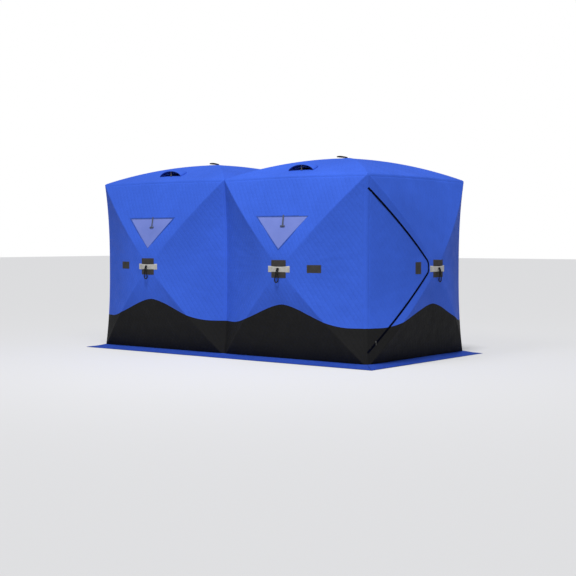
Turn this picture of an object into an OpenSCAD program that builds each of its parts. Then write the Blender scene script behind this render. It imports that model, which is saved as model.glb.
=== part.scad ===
// Pop-up hub shelter for ice fishing: two square bays of insulated fabric
// stretched over sprung poles. Every wall and roof panel is pushed outwards
// by a hub at its centre. Units are millimetres, +Z is up, X runs along the
// length, the front wall faces -Y and the door wall faces +X.
// The origin is on the ground, at the centre of the plan.

/* [Size] */
// Length of one bay, corner edge to centre seam
bay_l = 1800; // [1500:10:2200]
// Width of the shelter between its corner edges
hut_w = 1800; // [1500:10:2200]
// Height of the eave corners above the ground
eave_h = 1840; // [1600:5:2100]
// Height of the wall hubs above the ground
hub_h = 930; // [800:5:1050]

/* [Shape] */
// How far a wall hub stands out past its corner edges
wall_bulge = 210; // [100:5:300]
// How far a roof hub stands above the eave corners
roof_rise = 229; // [100:1:350]
// Rise of each sprung pole above its straight chord
pole_bow = 50; // [10:1:90]
// Inward bow of an upright corner edge at mid height
corner_bow = 35; // [0:1:80]
// Inward bow of the seam between the two bays at mid height
seam_bow = 45; // [0:1:80]
// Upward bow of the eaves at mid length
eave_up = 12; // [0:1:40]
// Inward bow of the eaves at mid length
eave_in = 25; // [0:1:60]
// How far the fabric falls back between two poles
billow = 18; // [0:1:40]
// Thickness of the quilted fabric
fabric_t = 5; // [2:0.5:12]

/* [Poles] */
// Diameter of a fibreglass pole
pole_d = 11; // [8:0.5:16]
// Depth of the pole centres inside the outer face of the fabric
pole_in = 20; // [12:1:30]
// Radius of the moulded corner balls and feet
ball_r = 20; // [14:1:30]

/* [Lower band] */
// Height share where the dark band meets the corner edges
band_low = 0.60; // [0.4:0.01:0.8]
// Height share of the crest of the dark band under a hub
band_top = 0.375; // [0.2:0.01:0.6]

/* [Skirt] */
// Reach of the ground skirt past the walls
skirt_w = 155; // [80:5:300]
// Height where the skirt is sewn to the walls
skirt_h = 34; // [10:1:80]
// Thickness of the skirt
skirt_t = 4; // [2:0.5:8]

/* [Door] */
// Clear gap around the door flap
door_gap = 6; // [5:0.5:12]
// Width of each zipper tape
tape_w = 10; // [6:0.5:20]
// Distance of the hinge line from the end of the shelter, across the width
hinge_y = 830; // [800:1:860]

/* [Hidden] */

blue = [0.24, 0.38, 0.86];
dark = [0.10, 0.10, 0.11];
grey = [0.28, 0.28, 0.28];
pale = [0.72, 0.71, 0.69];
lilac = [0.45, 0.50, 0.78, 0.6];
glass_fibre = [0.16, 0.16, 0.17];

A = bay_l / 2;        // half length of a bay
B = hut_w / 2;        // half width
half = 5;             // rays in half a side of a panel
rings = 8;            // rings from a hub to the panel edge
band_rows = 4;        // rows in a dark band

// ---- shape of a panel -------------------------------------------------
// A panel is a square seen from outside, with p to the right and q up,
// both from -1 to 1. It returns [across, up, out].
// e lists the bows of the left, right, top and bottom edges, each as
// [in the plane, out of it].
function edge_share(u) = 1 - pow(abs(u), 2.5);
function bows(p, q, e) = abs(p) >= abs(q) ? (p < 0 ? e[0] : e[1]) : (q > 0 ? e[2] : e[3]);
function panel(p, q, hx, up, down, d, e) =
  let (m = max(abs(p), abs(q)), side = abs(p) >= abs(q),
       u = m == 0 ? 0 : (side ? q / p : p / q),
       b = bows(p, q, e), k = m == 0 ? 0 : edge_share(u) * m * m)
  [hx * p - (side ? sign(p) * b[0] * k : 0),
   (q >= 0 ? up : down) * q - (side ? 0 : sign(q) * b[0] * k),
   d * (1 - m) + 4 * pole_bow * m * (1 - m) - b[1] * k - billow * (1 - u * u) * 6.75 * m * m * (1 - m)];

corner_e = [corner_bow, corner_bow];
seam_e = [0, seam_bow];
wall_top_e = [-eave_up, eave_in];
base_e = [0, 0];
roof_e = [eave_in, -eave_up];
ridge_e = [0, 10];

// kinds of panel: [half width, half height up, half height down, bulge, bows, mitres]
// a mitre is 1 where the inner face of the fabric stops short at a corner
front_1 = [A, eave_h - hub_h, hub_h, wall_bulge, [corner_e, seam_e, wall_top_e, base_e], [1, 0, 1, 0]];
front_2 = [A, eave_h - hub_h, hub_h, wall_bulge, [seam_e, corner_e, wall_top_e, base_e], [0, 1, 1, 0]];
end_k = [B, eave_h - hub_h, hub_h, wall_bulge, [corner_e, corner_e, wall_top_e, base_e], [1, 1, 1, 0]];
roof_1k = [A, B, B, roof_rise, [roof_e, ridge_e, roof_e, roof_e], [1, 0, 1, 1]];
roof_2k = [A, B, B, roof_rise, [ridge_e, roof_e, roof_e, roof_e], [0, 1, 1, 1]];

// A point at depth t inside the outer face.
function at(kind, p, q, t) =
  let (v = panel(p, q, kind[0], kind[1], kind[2], kind[3], kind[4]),
       mx = p < 0 ? kind[5][0] : kind[5][1], my = q < 0 ? kind[5][3] : kind[5][2])
  [v[0] - p * t * mx, v[1] - q * t * my, v[2] - t];

// ---- rays from a hub --------------------------------------------------
rays = concat(
  [for (i = [-half:half - 1]) [i / half, -1]],
  [for (i = [-half:half - 1]) [1, i / half]],
  [for (i = [-half:half - 1]) [-i / half, 1]],
  [for (i = [-half:half - 1]) [-1, -i / half]]);
function wave(p) = band_top + (band_low - band_top) * pow(sin(90 * min(abs(p) / 0.85, 1)), 1.6);
function crest(r, m, n) = n == 0 ? m : crest(r, wave(m * r[0]) / -r[1], n - 1);
function reach(r) = r[1] >= -0.01 ? 1 : min(1, crest(r, 0.6, 60));

// faces of a quad, seen clockwise from outside
function quad(a, b, c, d) = [[a, b, c], [a, c, d]];
function flat_list(l) = [for (x = l) for (y = x) y];

// A closed star-shaped shell around the hub between depths t0 and t1.
module star(kind, t0, t1, low) {
  K = len(rays);
  J = rings;
  function pts(t) = concat([at(kind, 0, 0, t)],
    [for (r = rays) let (M = low ? reach(r) : 1) for (j = [1:J]) at(kind, r[0] * M * j / J, r[1] * M * j / J, t)]);
  N = 1 + K * J;
  function o(k, j) = j == 0 ? 0 : 1 + (k % K) * J + j - 1;
  function i(k, j) = N + o(k, j);
  f = concat(
    [for (k = [0:K - 1]) [o(k, 0), o(k + 1, 1), o(k, 1)]],
    [for (k = [0:K - 1]) [i(k, 0), i(k, 1), i(k + 1, 1)]],
    flat_list([for (k = [0:K - 1]) for (j = [1:J - 1]) quad(o(k, j), o(k + 1, j), o(k + 1, j + 1), o(k, j + 1))]),
    flat_list([for (k = [0:K - 1]) for (j = [1:J - 1]) quad(i(k, j), i(k, j + 1), i(k + 1, j + 1), i(k + 1, j))]),
    flat_list([for (k = [0:K - 1]) low ? quad(o(k, J), o(k + 1, J), i(k + 1, J), i(k, J))
      : quad(o(k + 1, J), i(k + 1, J), i(k, J), o(k, J))]));
  polyhedron(concat(pts(t0), pts(t1)), f, convexity = 6);
}

// The dark strip below the wave, between depths t0 and t1.
// Both its ends run out to a point on the panel's edge.
module strip(kind, t0, t1) {
  R = concat([for (i = [3:half - 1]) [-1, -i / half]], [for (i = [-half:half]) [i / half, -1]],
    [for (i = [half - 1:-1:3]) [1, -i / half]]);
  K = len(R) - 1;
  J = band_rows;
  function m(k, j) = let (M = (k == 0 || k == K) ? 1 : reach(R[k])) M + (1 - M) * j / J;
  function pts(t) = concat([at(kind, R[0][0], R[0][1], t), at(kind, R[K][0], R[K][1], t)],
    [for (k = [1:K - 1]) for (j = [0:J]) at(kind, R[k][0] * m(k, j), R[k][1] * m(k, j), t)]);
  N = 2 + (K - 1) * (J + 1);
  function o(k, j) = k == 0 ? 0 : k == K ? 1 : 2 + (k - 1) * (J + 1) + j;
  function i(k, j) = N + o(k, j);
  f = concat(
    [for (j = [0:J - 1]) [o(0, 0), o(1, j), o(1, j + 1)]],
    [for (j = [0:J - 1]) [i(0, 0), i(1, j + 1), i(1, j)]],
    [for (j = [0:J - 1]) [o(K, 0), o(K - 1, j + 1), o(K - 1, j)]],
    [for (j = [0:J - 1]) [i(K, 0), i(K - 1, j), i(K - 1, j + 1)]],
    flat_list([for (k = [1:K - 2]) for (j = [0:J - 1]) quad(o(k, j), o(k + 1, j), o(k + 1, j + 1), o(k, j + 1))]),
    flat_list([for (k = [1:K - 2]) for (j = [0:J - 1]) quad(i(k, j), i(k, j + 1), i(k + 1, j + 1), i(k + 1, j))]),
    flat_list([for (k = [0:K - 1]) quad(o(k, J), o(k + 1, J), i(k + 1, J), i(k, J))]),
    flat_list([for (k = [0:K - 1]) quad(o(k, 0), i(k, 0), i(k + 1, 0), o(k + 1, 0))]));
  polyhedron(concat(pts(t0), pts(t1)), f, convexity = 6);
}

// ---- places of the panels: across is X, up is Y, out is Z -------------
module on_front(x) { translate([x, -B, hub_h]) rotate([90, 0, 0]) children(); }
module on_back(x) { translate([x, B, hub_h]) rotate([0, 0, 180]) rotate([90, 0, 0]) children(); }
module on_right() { translate([2 * A, 0, hub_h]) rotate([0, 0, 90]) rotate([90, 0, 0]) children(); }
module on_left() { translate([-2 * A, 0, hub_h]) rotate([0, 0, -90]) rotate([90, 0, 0]) children(); }
module on_roof(x) { translate([x, 0, eave_h]) children(); }

// ---- openings ---------------------------------------------------------
// Window outline, an inverted triangle with its sides along the poles.
module window_shape(grow) {
  offset(delta = grow) polygon([[-355, 518], [296, 518], [-28, 190]]);
}
module window_cut(grow) { translate([0, 0, -100]) linear_extrude(500) window_shape(grow); }

// Zipper line of the door, as seen from outside; left is its straight side.
module door_shape(grow, left) {
  intersection() {
    offset(r = grow) offset(r = 40) offset(delta = -40)
      polygon([[-1000, 886], [-150, 78], [-136, 44], [-136, -24], [-150, -45], [-1000, -903]]);
    translate([-left, -1000]) square([1000, 2000]);
  }
}
module door_prism(grow, left) { translate([0, 0, -100]) linear_extrude(500) door_shape(grow, left); }
flap_left = hinge_y - 3;   // straight side of the flap
frame_left = hinge_y + 18; // straight side of the opening

// ---- walls ------------------------------------------------------------
module wall_with_window(kind) {
  difference() {
    star(kind, 0, fabric_t, true);
    window_cut(0);
  }
}
module front_wall_1() { color(blue) on_front(-A) wall_with_window(front_1); }
module front_wall_2() { color(blue) on_front(A) wall_with_window(front_2); }
module back_wall_1() { color(blue) on_back(-A) wall_with_window(front_2); }
module back_wall_2() { color(blue) on_back(A) wall_with_window(front_1); }
module left_wall() { color(blue) on_left() star(end_k, 0, fabric_t, true); }
module door_wall() {
  color(blue) on_right() difference() {
    star(end_k, 0, fabric_t, true);
    door_prism(door_gap / 2, frame_left);
  }
}
module roof_1() {
  color(blue) on_roof(-A) difference() {
    star(roof_1k, 0, fabric_t, false);
    vent_hole(vent_x1);
  }
}
module roof_2() {
  color(blue) on_roof(A) difference() {
    star(roof_2k, 0, fabric_t, false);
    vent_hole(vent_x2);
  }
}

module front_band_1() { color(dark) on_front(-A) strip(front_1, 0, fabric_t); }
module front_band_2() { color(dark) on_front(A) strip(front_2, 0, fabric_t); }
module back_band_1() { color(dark) on_back(-A) strip(front_2, 0, fabric_t); }
module back_band_2() { color(dark) on_back(A) strip(front_1, 0, fabric_t); }
module left_band() { color(dark) on_left() strip(end_k, 0, fabric_t); }
module door_wall_band() {
  color(dark) on_right() difference() {
    strip(end_k, 0, fabric_t);
    door_prism(door_gap / 2, frame_left);
  }
}

// ---- door -------------------------------------------------------------
module door_flap() {
  color(blue) on_right() intersection() {
    star(end_k, 0, fabric_t, true);
    door_prism(-door_gap / 2, flap_left);
  }
}
module door_band() {
  color(dark) on_right() intersection() {
    strip(end_k, 0, fabric_t);
    door_prism(-door_gap / 2, flap_left);
  }
}

// One tape of the zipper, lying on the fabric between two outlines.
module tape(low, g0, g1, left0, left1) {
  intersection() {
    if (low) strip(end_k, -2.5, 0); else star(end_k, -2.5, 0, true);
    difference() { door_prism(g1, left1); door_prism(g0, left0); }
    translate([-flap_left, -1000, -100]) cube([1000, 2000, 500]);
  }
}
module door_tape() {
  color(dark) on_right() {
    tape(false, -door_gap / 2 - tape_w, -door_gap / 2, flap_left + 50, flap_left);
    tape(true, -door_gap / 2 - tape_w, -door_gap / 2, flap_left + 50, flap_left);
  }
}
module frame_tape() {
  color(dark) on_right() {
    tape(false, door_gap / 2, door_gap / 2 + tape_w, frame_left + 50, frame_left);
    tape(true, door_gap / 2, door_gap / 2 + tape_w, frame_left + 50, frame_left);
  }
}
// the slider sits on the flap beside its tape, its tongue hangs plumb
module zip_pull() {
  px = -804; py = -687;
  r = at(end_k, px / B, py / hub_h, 0)[2];
  color(pale) on_right() translate([px, py, r]) {
    translate([0, 0, 3.2]) rotate([0, 0, 45]) translate([-9, -6, 0]) cube([18, 12, 7]);
    translate([-5, -32, 10.2]) cube([10, 36, 2.4]);
  }
}

// A patch on the outer face of a wall, between two depths.
module patch(kind, t0, t1, x, y, w, h) {
  intersection() {
    star(kind, t0, t1, true);
    translate([x - w / 2, y - h / 2, -100]) cube([w, h, 500]);
  }
}
module door_patch() { color(grey) on_right() patch(end_k, -1.5, 0, -283, 9, 76, 118); }

// ---- windows ----------------------------------------------------------
module pane(kind) {
  intersection() {
    star(kind, 2, 3.5, true);
    window_cut(-0.05);
  }
}
module front_window_1() { color(lilac) on_front(-A) pane(front_1); }
module front_window_2() { color(lilac) on_front(A) pane(front_2); }
module back_window_1() { color(lilac) on_back(-A) pane(front_2); }
module back_window_2() { color(lilac) on_back(A) pane(front_1); }
// a thin tie with a toggle, sewn to the wall above the pane and lying over it
module window_strip(kind) {
  patch(kind, -2, 0, -24, 472, 18, 116);
  patch(kind, -9, -0.5, -24, 420, 56, 15);
}
module window_strips() {
  color(grey) {
    on_front(-A) window_strip(front_1);
    on_front(A) window_strip(front_2);
    on_back(-A) window_strip(front_2);
    on_back(A) window_strip(front_1);
  }
}

// ---- roof vents -------------------------------------------------------
vent_w = 310;    // width of a hood
vent_y0 = -712;  // front rim
vent_y1 = -520;  // back seam
vent_h = 58;     // rise of the rim
module hood(kind, x0) {
  n = 12; v = 5; t = 4;
  function h(a, b) = vent_h * pow(1 - a * a, 0.8) * (1 - b * b * 0.98);
  function pt(i, j, k) = let (a = 2 * i / n - 1, b = j / v,
      w = sqrt(1 - 0.88 * b * b), x = x0 + a * w * vent_w / 2, y = vent_y0 + (vent_y1 - vent_y0) * b,
      s = at(kind, x / A, y / B, 0))
    [x, y, s[2] + 1.5 + h(a, b) + (k == 0 ? t : 0)];
  function id(i, j, k) = k * (n + 1) * (v + 1) + j * (n + 1) + i;
  polyhedron([for (k = [0, 1]) for (j = [0:v]) for (i = [0:n]) pt(i, j, k)],
    concat(
      flat_list([for (i = [0:n - 1]) for (j = [0:v - 1]) quad(id(i, j, 0), id(i, j + 1, 0), id(i + 1, j + 1, 0), id(i + 1, j, 0))]),
      flat_list([for (i = [0:n - 1]) for (j = [0:v - 1]) quad(id(i, j, 1), id(i + 1, j, 1), id(i + 1, j + 1, 1), id(i, j + 1, 1))]),
      flat_list([for (i = [0:n - 1]) quad(id(i, 0, 0), id(i + 1, 0, 0), id(i + 1, 0, 1), id(i, 0, 1))]),
      flat_list([for (i = [0:n - 1]) quad(id(i + 1, v, 0), id(i, v, 0), id(i, v, 1), id(i + 1, v, 1))]),
      flat_list([for (j = [0:v - 1]) quad(id(0, j + 1, 0), id(0, j, 0), id(0, j, 1), id(0, j + 1, 1))]),
      flat_list([for (j = [0:v - 1]) quad(id(n, j, 0), id(n, j + 1, 0), id(n, j + 1, 1), id(n, j, 1))])),
    convexity = 4);
}
module vent_hole(x0) { translate([x0, (vent_y0 + vent_y1) / 2 - 10, -100]) linear_extrude(500) scale([1, 0.45]) circle(d = 204, $fn = 40); }
module vent_hood_1() { color(blue) on_roof(-A) hood(roof_1k, vent_x1); }
module vent_hood_2() { color(blue) on_roof(A) hood(roof_2k, vent_x2); }
module prop(kind, x0) {
  s = at(kind, x0 / A, (vent_y0 + 14) / B, 0)[2];
  translate([x0, vent_y0 + 14, s + 0.3]) { cylinder(h = 53, d = 9); cylinder(h = 4, d = 26); }
}
module vent_props() {
  color(pale) {
    on_roof(-A) prop(roof_1k, vent_x1);
    on_roof(A) prop(roof_2k, vent_x2);
  }
}
vent_x1 = -56;   // vent centre from the roof hub, first bay
vent_x2 = -44;   // and second bay

// ---- marks and loops at the hubs --------------------------------------
front_mark = -14; // the marks on a front or back wall sit this far right of its hub
end_mark = 28;    // and on an end wall
module each_wall() {
  on_front(-A) children(0);
  on_front(A) children(1);
  on_back(-A) children(1);
  on_back(A) children(0);
  on_right() children(2);
  on_left() children(2);
}
module hub_patches() {
  color(grey) each_wall() {
    patch(front_1, -1.5, 0, front_mark, 0, 184, 176);
    patch(front_2, -1.5, 0, front_mark, 0, 184, 176);
    patch(end_k, -1.5, 0, end_mark + 9, 0, 192, 176);
  }
}
module hub_straps() {
  color(pale) each_wall() {
    patch(front_1, -4.5, -1.5, front_mark, -2, 272, 62);
    patch(front_2, -4.5, -1.5, front_mark, -2, 272, 62);
    patch(end_k, -4.5, -1.5, end_mark, -2, 276, 62);
  }
}
module side_patches() {
  color(grey) {
    on_front(-A) patch(front_1, -1.5, 0, -424, 8, 156, 78);
    on_front(A) patch(front_2, -1.5, 0, 377, 4, 143, 78);
    on_back(-A) patch(front_2, -1.5, 0, 377, 4, 143, 78);
    on_back(A) patch(front_1, -1.5, 0, -424, 8, 156, 78);
  }
}

// A rope swept along points.
module rope(path, d) {
  n = 8; K = len(path) - 1;
  function tan_at(i) = let (a = path[max(i - 1, 0)], b = path[min(i + 1, K)], v = b - a) v / norm(v);
  function ring(i) = let (t = tan_at(i), s0 = [0, 0, 1], s = cross(t, s0) / norm(cross(t, s0)), w = cross(s, t))
    [for (k = [0:n - 1]) path[i] + (s * cos(360 * k / n) + w * sin(360 * k / n)) * d / 2];
  polyhedron([for (i = [0:K]) for (q = ring(i)) q],
    concat([[for (k = [0:n - 1]) k]], [[for (k = [n - 1:-1:0]) K * n + k]],
      flat_list([for (i = [0:K - 1]) for (k = [0:n - 1]) quad(i * n + k, (i + 1) * n + k, (i + 1) * n + (k + 1) % n, i * n + (k + 1) % n)])),
    convexity = 4);
}
rope_d = 11;
// one pull loop, hanging plumb: across, up, out from the hub strap
loop_path = [[-7, 3, 0], [-7, -7, 4], [-8, -19, 7], [-10, -34, 7], [-12, -51, 7], [-15, -68, 7], [-18, -84, 6],
  [-21, -99, 5], [-21, -112, 4], [-15, -125, 4], [-5, -131, 4], [5, -131, 4], [15, -125, 4], [21, -112, 4], [21, -99, 5],
  [18, -84, 6], [15, -68, 7], [12, -51, 7], [10, -34, 7], [8, -19, 7], [7, -7, 4], [7, 3, 0]];
// lean is how far its low end hangs to one side
module pull_loop(x, lean) {
  translate([x, 0, wall_bulge + 11]) rope([for (v = loop_path) [v[0] + lean * max(0, -v[1]) / 130, v[1], v[2]]], rope_d);
}
module front_loop_1() { color(dark) on_front(-A) pull_loop(-28, 0); }
module front_loop_2() { color(dark) on_front(A) pull_loop(-16, -13); }
module back_loop_1() { color(dark) on_back(-A) pull_loop(-16, -6); }
module back_loop_2() { color(dark) on_back(A) pull_loop(-16, 5); }
module left_loop() { color(dark) on_left() pull_loop(end_mark + 12, -4); }
module door_wall_loop() { color(dark) on_right() pull_loop(end_mark + 12, 6); }
// a roof loop of stiffer cord stands out a little from its hub
roof_path = [[8, -13, 8], [-8, -18, 9], [-24, -22, 11], [-42, -24, 13], [-60, -25, 15], [-75, -25, 17], [-89, -22, 19], [-99, -13, 21],
  [-103, -2, 23], [-99, 10, 25], [-90, 18, 26], [-76, 21, 25], [-60, 21, 23], [-42, 20, 20], [-24, 17, 17], [-8, 15, 13], [8, 11, 8]];
module roof_loop() { translate([0, 0, roof_rise]) rope(roof_path, rope_d); }
module roof_loop_1() { color(dark) on_roof(-A) roof_loop(); }
module roof_loop_2() { color(dark) on_roof(A) roof_loop(); }

// ---- ground skirt -----------------------------------------------------
// inner edge follows the wall, outer edge is straight and lies on the ground
function base_pt(kind, p, z) = at(kind, p, (z - hub_h) / hub_h, -2);
module skirt(kinds, xs, L) {
  c = (hub_h - skirt_h) / hub_h; // a pole meets the skirt line here
  P = concat([-1, -c], [for (i = [-half + 1:half - 1]) i / half], [c, 1]);
  // columns: [inner top, inner bottom] in the wall's own frame
  cols = [for (b = [0:len(kinds) - 1]) for (i = [(b == 0 ? 0 : 1):len(P) - 1])
    [base_pt(kinds[b], P[i], skirt_h) + [xs[b], 0, 0], base_pt(kinds[b], P[i], skirt_h - skirt_t) + [xs[b], 0, 0]]];
  C = len(cols) - 1;
  rows = [[0, 1], [0.3, 0.55], [0.6, 0.18], [0.82, 0], [1, 0]];
  R = len(rows) - 1;
  function top(c, r) = let (a = cols[c][0], s = rows[r][0], x1 = a[0] * (L + skirt_w) / L, z = skirt_t + (skirt_h - skirt_t) * rows[r][1] - hub_h)
    r == 0 ? a : [a[0] + (x1 - a[0]) * s, z, a[2] + (skirt_w - a[2]) * s];
  function bot(c, r) = let (a = cols[c][1], s = rows[r][0], x1 = a[0] * (L + skirt_w) / L, z = (skirt_h - skirt_t) * rows[r][1] - hub_h)
    r == 0 ? a : [a[0] + (x1 - a[0]) * s, z, a[2] + (skirt_w - a[2]) * s];
  N = (C + 1) * (R + 1);
  function o(c, r) = c * (R + 1) + r;
  function i(c, r) = N + o(c, r);
  polyhedron(concat([for (c = [0:C]) for (r = [0:R]) top(c, r)], [for (c = [0:C]) for (r = [0:R]) bot(c, r)]),
    concat(
      flat_list([for (c = [0:C - 1]) for (r = [0:R - 1]) quad(o(c, r), o(c + 1, r), o(c + 1, r + 1), o(c, r + 1))]),
      flat_list([for (c = [0:C - 1]) for (r = [0:R - 1]) quad(i(c, r), i(c, r + 1), i(c + 1, r + 1), i(c + 1, r))]),
      flat_list([for (c = [0:C - 1]) quad(o(c, R), o(c + 1, R), i(c + 1, R), i(c, R))]),
      flat_list([for (c = [0:C - 1]) quad(o(c, 0), i(c, 0), i(c + 1, 0), o(c + 1, 0))]),
      flat_list([for (r = [0:R - 1]) quad(o(0, r), o(0, r + 1), i(0, r + 1), i(0, r))]),
      flat_list([for (r = [0:R - 1]) quad(o(C, r + 1), o(C, r), i(C, r), i(C, r + 1))])),
    convexity = 6);
}
module front_skirt() { color(blue) on_front(0) skirt([front_1, front_2], [-A, A], 2 * A); }
module back_skirt() { color(blue) on_back(0) skirt([front_1, front_2], [-A, A], 2 * A); }
module left_skirt() { color(blue) on_left() skirt([end_k], [0], B); }
module right_skirt() { color(blue) on_right() skirt([end_k], [0], B); }

// ---- poles, hubs, corners and feet ------------------------------------
inset = ball_r + fabric_t + 6;    // corner ball centre inside the walls
inset_mid = ball_r + fabric_t + 10; // the same at the centre seam
foot_z = 45;                       // height of the foot balls
arm = 75;                          // hub socket length

// One sprung pole in a panel's frame, from the hub to [dx, dy, r1].
module pole(dx, dy, r0, r1) {
  L = norm([dx, dy]);
  c = norm([L, r0 - r1]);
  R = (c * c / 4 + pole_bow * pole_bow) / (2 * pole_bow);
  half_a = asin(c / 2 / R);
  cut0 = arm / R * 180 / PI;
  cut1 = ball_r / R * 180 / PI;
  rotate([0, 0, atan2(dy, dx)]) rotate([90, 0, 0]) translate([0, r0, 0]) rotate([0, 0, atan2(r1 - r0, L)])
    translate([c / 2, -(R - pole_bow), 0]) rotate([0, 0, 90 - half_a + cut1])
      rotate_extrude(angle = 2 * half_a - cut0 - cut1, $fn = 360) translate([R, 0]) circle(d = pole_d, $fn = 24);
}
module four_poles(xl, xr, yu, yd, rise, r_l, r_r) {
  r0 = rise - pole_in;
  pole(-xl, yu, r0, r_l);
  pole(xr, yu, r0, r_r);
  pole(-xl, -yd, r0, r_l);
  pole(xr, -yd, r0, r_r);
}
hi = eave_h - inset - hub_h;
lo = hub_h - foot_z;
module front_pair() {
  translate([-A, 0, 0]) four_poles(A - inset, A, hi, lo, wall_bulge, -inset, -inset_mid);
  translate([A, 0, 0]) four_poles(A, A - inset, hi, lo, wall_bulge, -inset_mid, -inset);
}
module front_poles() { color(glass_fibre) on_front(0) front_pair(); }
module back_poles() { color(glass_fibre) on_back(0) front_pair(); }
module left_poles() { color(glass_fibre) on_left() four_poles(B - inset, B - inset, hi, lo, wall_bulge, -inset, -inset); }
module door_wall_poles() { color(glass_fibre) on_right() four_poles(B - inset, B - inset, hi, lo, wall_bulge, -inset, -inset); }
module roof_four(l, r) {
  r0 = roof_rise - pole_in;
  for (s = [-1, 1]) {
    pole(-(l ? A - inset : A), s * (l ? B - inset : B - inset_mid), r0, -inset);
    pole(r ? A - inset : A, s * (r ? B - inset : B - inset_mid), r0, -inset);
  }
}
module roof_poles() {
  color(glass_fibre) {
    on_roof(-A) roof_four(true, false);
    on_roof(A) roof_four(false, true);
  }
}

// A moulded hub: a disc with four sockets towards the corners.
module hub(rise, xl, xr, yu, yd) {
  translate([0, 0, rise - pole_in]) {
    translate([0, 0, -7]) cylinder(h = 13, r = 40, $fn = 60);
    for (a = [atan2(yu, xr), atan2(yu, -xl), atan2(-yd, -xl), atan2(-yd, xr)])
      rotate([0, 0, a]) rotate([0, 90, 0]) translate([0, 0, 34]) cylinder(h = arm - 34, d = 19, $fn = 32);
  }
}
module wall_hubs() {
  color(dark) {
    for (s = [0, 1]) rotate([0, 0, 180 * s]) {
      on_front(-A) hub(wall_bulge, A - inset, A, hi, lo);
      on_front(A) hub(wall_bulge, A, A - inset, hi, lo);
      on_right() hub(wall_bulge, B - inset, B - inset, hi, lo);
    }
  }
}
module roof_hubs() {
  color(dark) {
    on_roof(-A) hub(roof_rise, A - inset, A, B - inset, B - inset);
    on_roof(A) hub(roof_rise, A, A - inset, B - inset, B - inset);
  }
}
corner_xy = [for (s = [-1, 1]) for (x = [-1, 0, 1])
  [x * (2 * A - inset), s * (B - (x == 0 ? inset_mid : inset))]];
module top_corners() {
  color(dark) for (c = corner_xy) translate([c[0], c[1], eave_h - inset]) sphere(r = ball_r, $fn = 48);
}
module feet() {
  color(dark) for (c = corner_xy) translate([c[0], c[1], 0]) {
    translate([0, 0, foot_z]) sphere(r = ball_r, $fn = 48);
    cylinder(h = foot_z, r = 13, $fn = 32);
    cylinder(h = 7, r = 19, $fn = 48);
  }
}

front_wall_1();
front_wall_2();
back_wall_1();
back_wall_2();
left_wall();
door_wall();
roof_1();
roof_2();
front_band_1();
front_band_2();
back_band_1();
back_band_2();
left_band();
door_wall_band();
door_flap();
door_band();
door_tape();
frame_tape();
zip_pull();
door_patch();
front_window_1();
front_window_2();
back_window_1();
back_window_2();
window_strips();
vent_hood_1();
vent_hood_2();
vent_props();
hub_patches();
hub_straps();
side_patches();
front_loop_1();
front_loop_2();
back_loop_1();
back_loop_2();
left_loop();
door_wall_loop();
roof_loop_1();
roof_loop_2();
front_skirt();
back_skirt();
left_skirt();
right_skirt();
front_poles();
back_poles();
left_poles();
door_wall_poles();
roof_poles();
wall_hubs();
roof_hubs();
top_corners();
feet();
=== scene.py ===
"""Looks of a two-bay pop-up hub shelter for ice fishing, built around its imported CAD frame.

Every panel is a quilted cloth shell on the same surface as its CAD solid: a square
seen from outside, p to the right and q up, pushed out by a hub at its centre.
Lengths are metres. Local panel coordinates are x across, y up and r outwards.
"""
import bpy
import math
import numpy as np
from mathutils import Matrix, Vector, geometry, kdtree


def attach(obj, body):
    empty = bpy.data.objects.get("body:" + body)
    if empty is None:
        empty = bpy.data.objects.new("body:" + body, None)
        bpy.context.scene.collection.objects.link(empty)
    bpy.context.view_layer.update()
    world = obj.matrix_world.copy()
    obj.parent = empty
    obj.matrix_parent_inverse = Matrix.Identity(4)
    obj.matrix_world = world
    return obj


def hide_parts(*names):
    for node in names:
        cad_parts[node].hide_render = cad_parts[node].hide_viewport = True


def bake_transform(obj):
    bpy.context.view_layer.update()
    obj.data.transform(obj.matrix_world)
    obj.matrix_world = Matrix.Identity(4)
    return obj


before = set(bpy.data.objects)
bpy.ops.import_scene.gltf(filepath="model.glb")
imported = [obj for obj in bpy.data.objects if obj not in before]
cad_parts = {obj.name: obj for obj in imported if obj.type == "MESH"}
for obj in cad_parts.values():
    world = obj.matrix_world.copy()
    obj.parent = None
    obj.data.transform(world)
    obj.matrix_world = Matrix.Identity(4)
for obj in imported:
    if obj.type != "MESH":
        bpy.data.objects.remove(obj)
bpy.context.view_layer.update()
SCENE = bpy.context.scene
COLL = SCENE.collection

# ------------------------------------------------------------------ sizes
A = B = 0.9
EAVE, HUB = 1.840, 0.93
BULGE, RISE, BOW, BILLOW, T = 0.21, 0.229, 0.05, 0.018, 0.005
E_CORNER, E_SEAM, E_TOP, E_BASE = (0.035, 0.035), (0.0, 0.045), (-0.012, 0.025), (0.0, 0.0)
E_ROOF, E_RIDGE = (0.025, -0.012), (0.0, 0.010)
QW, QH, QN = 0.050, 0.077, 3      # quilted diamond, and mesh steps along its side
PILLOW = 0.0015                   # height of a quilted diamond
SEAM_IN = 0.027                   # stitched seam inside an upright or eave edge


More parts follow.
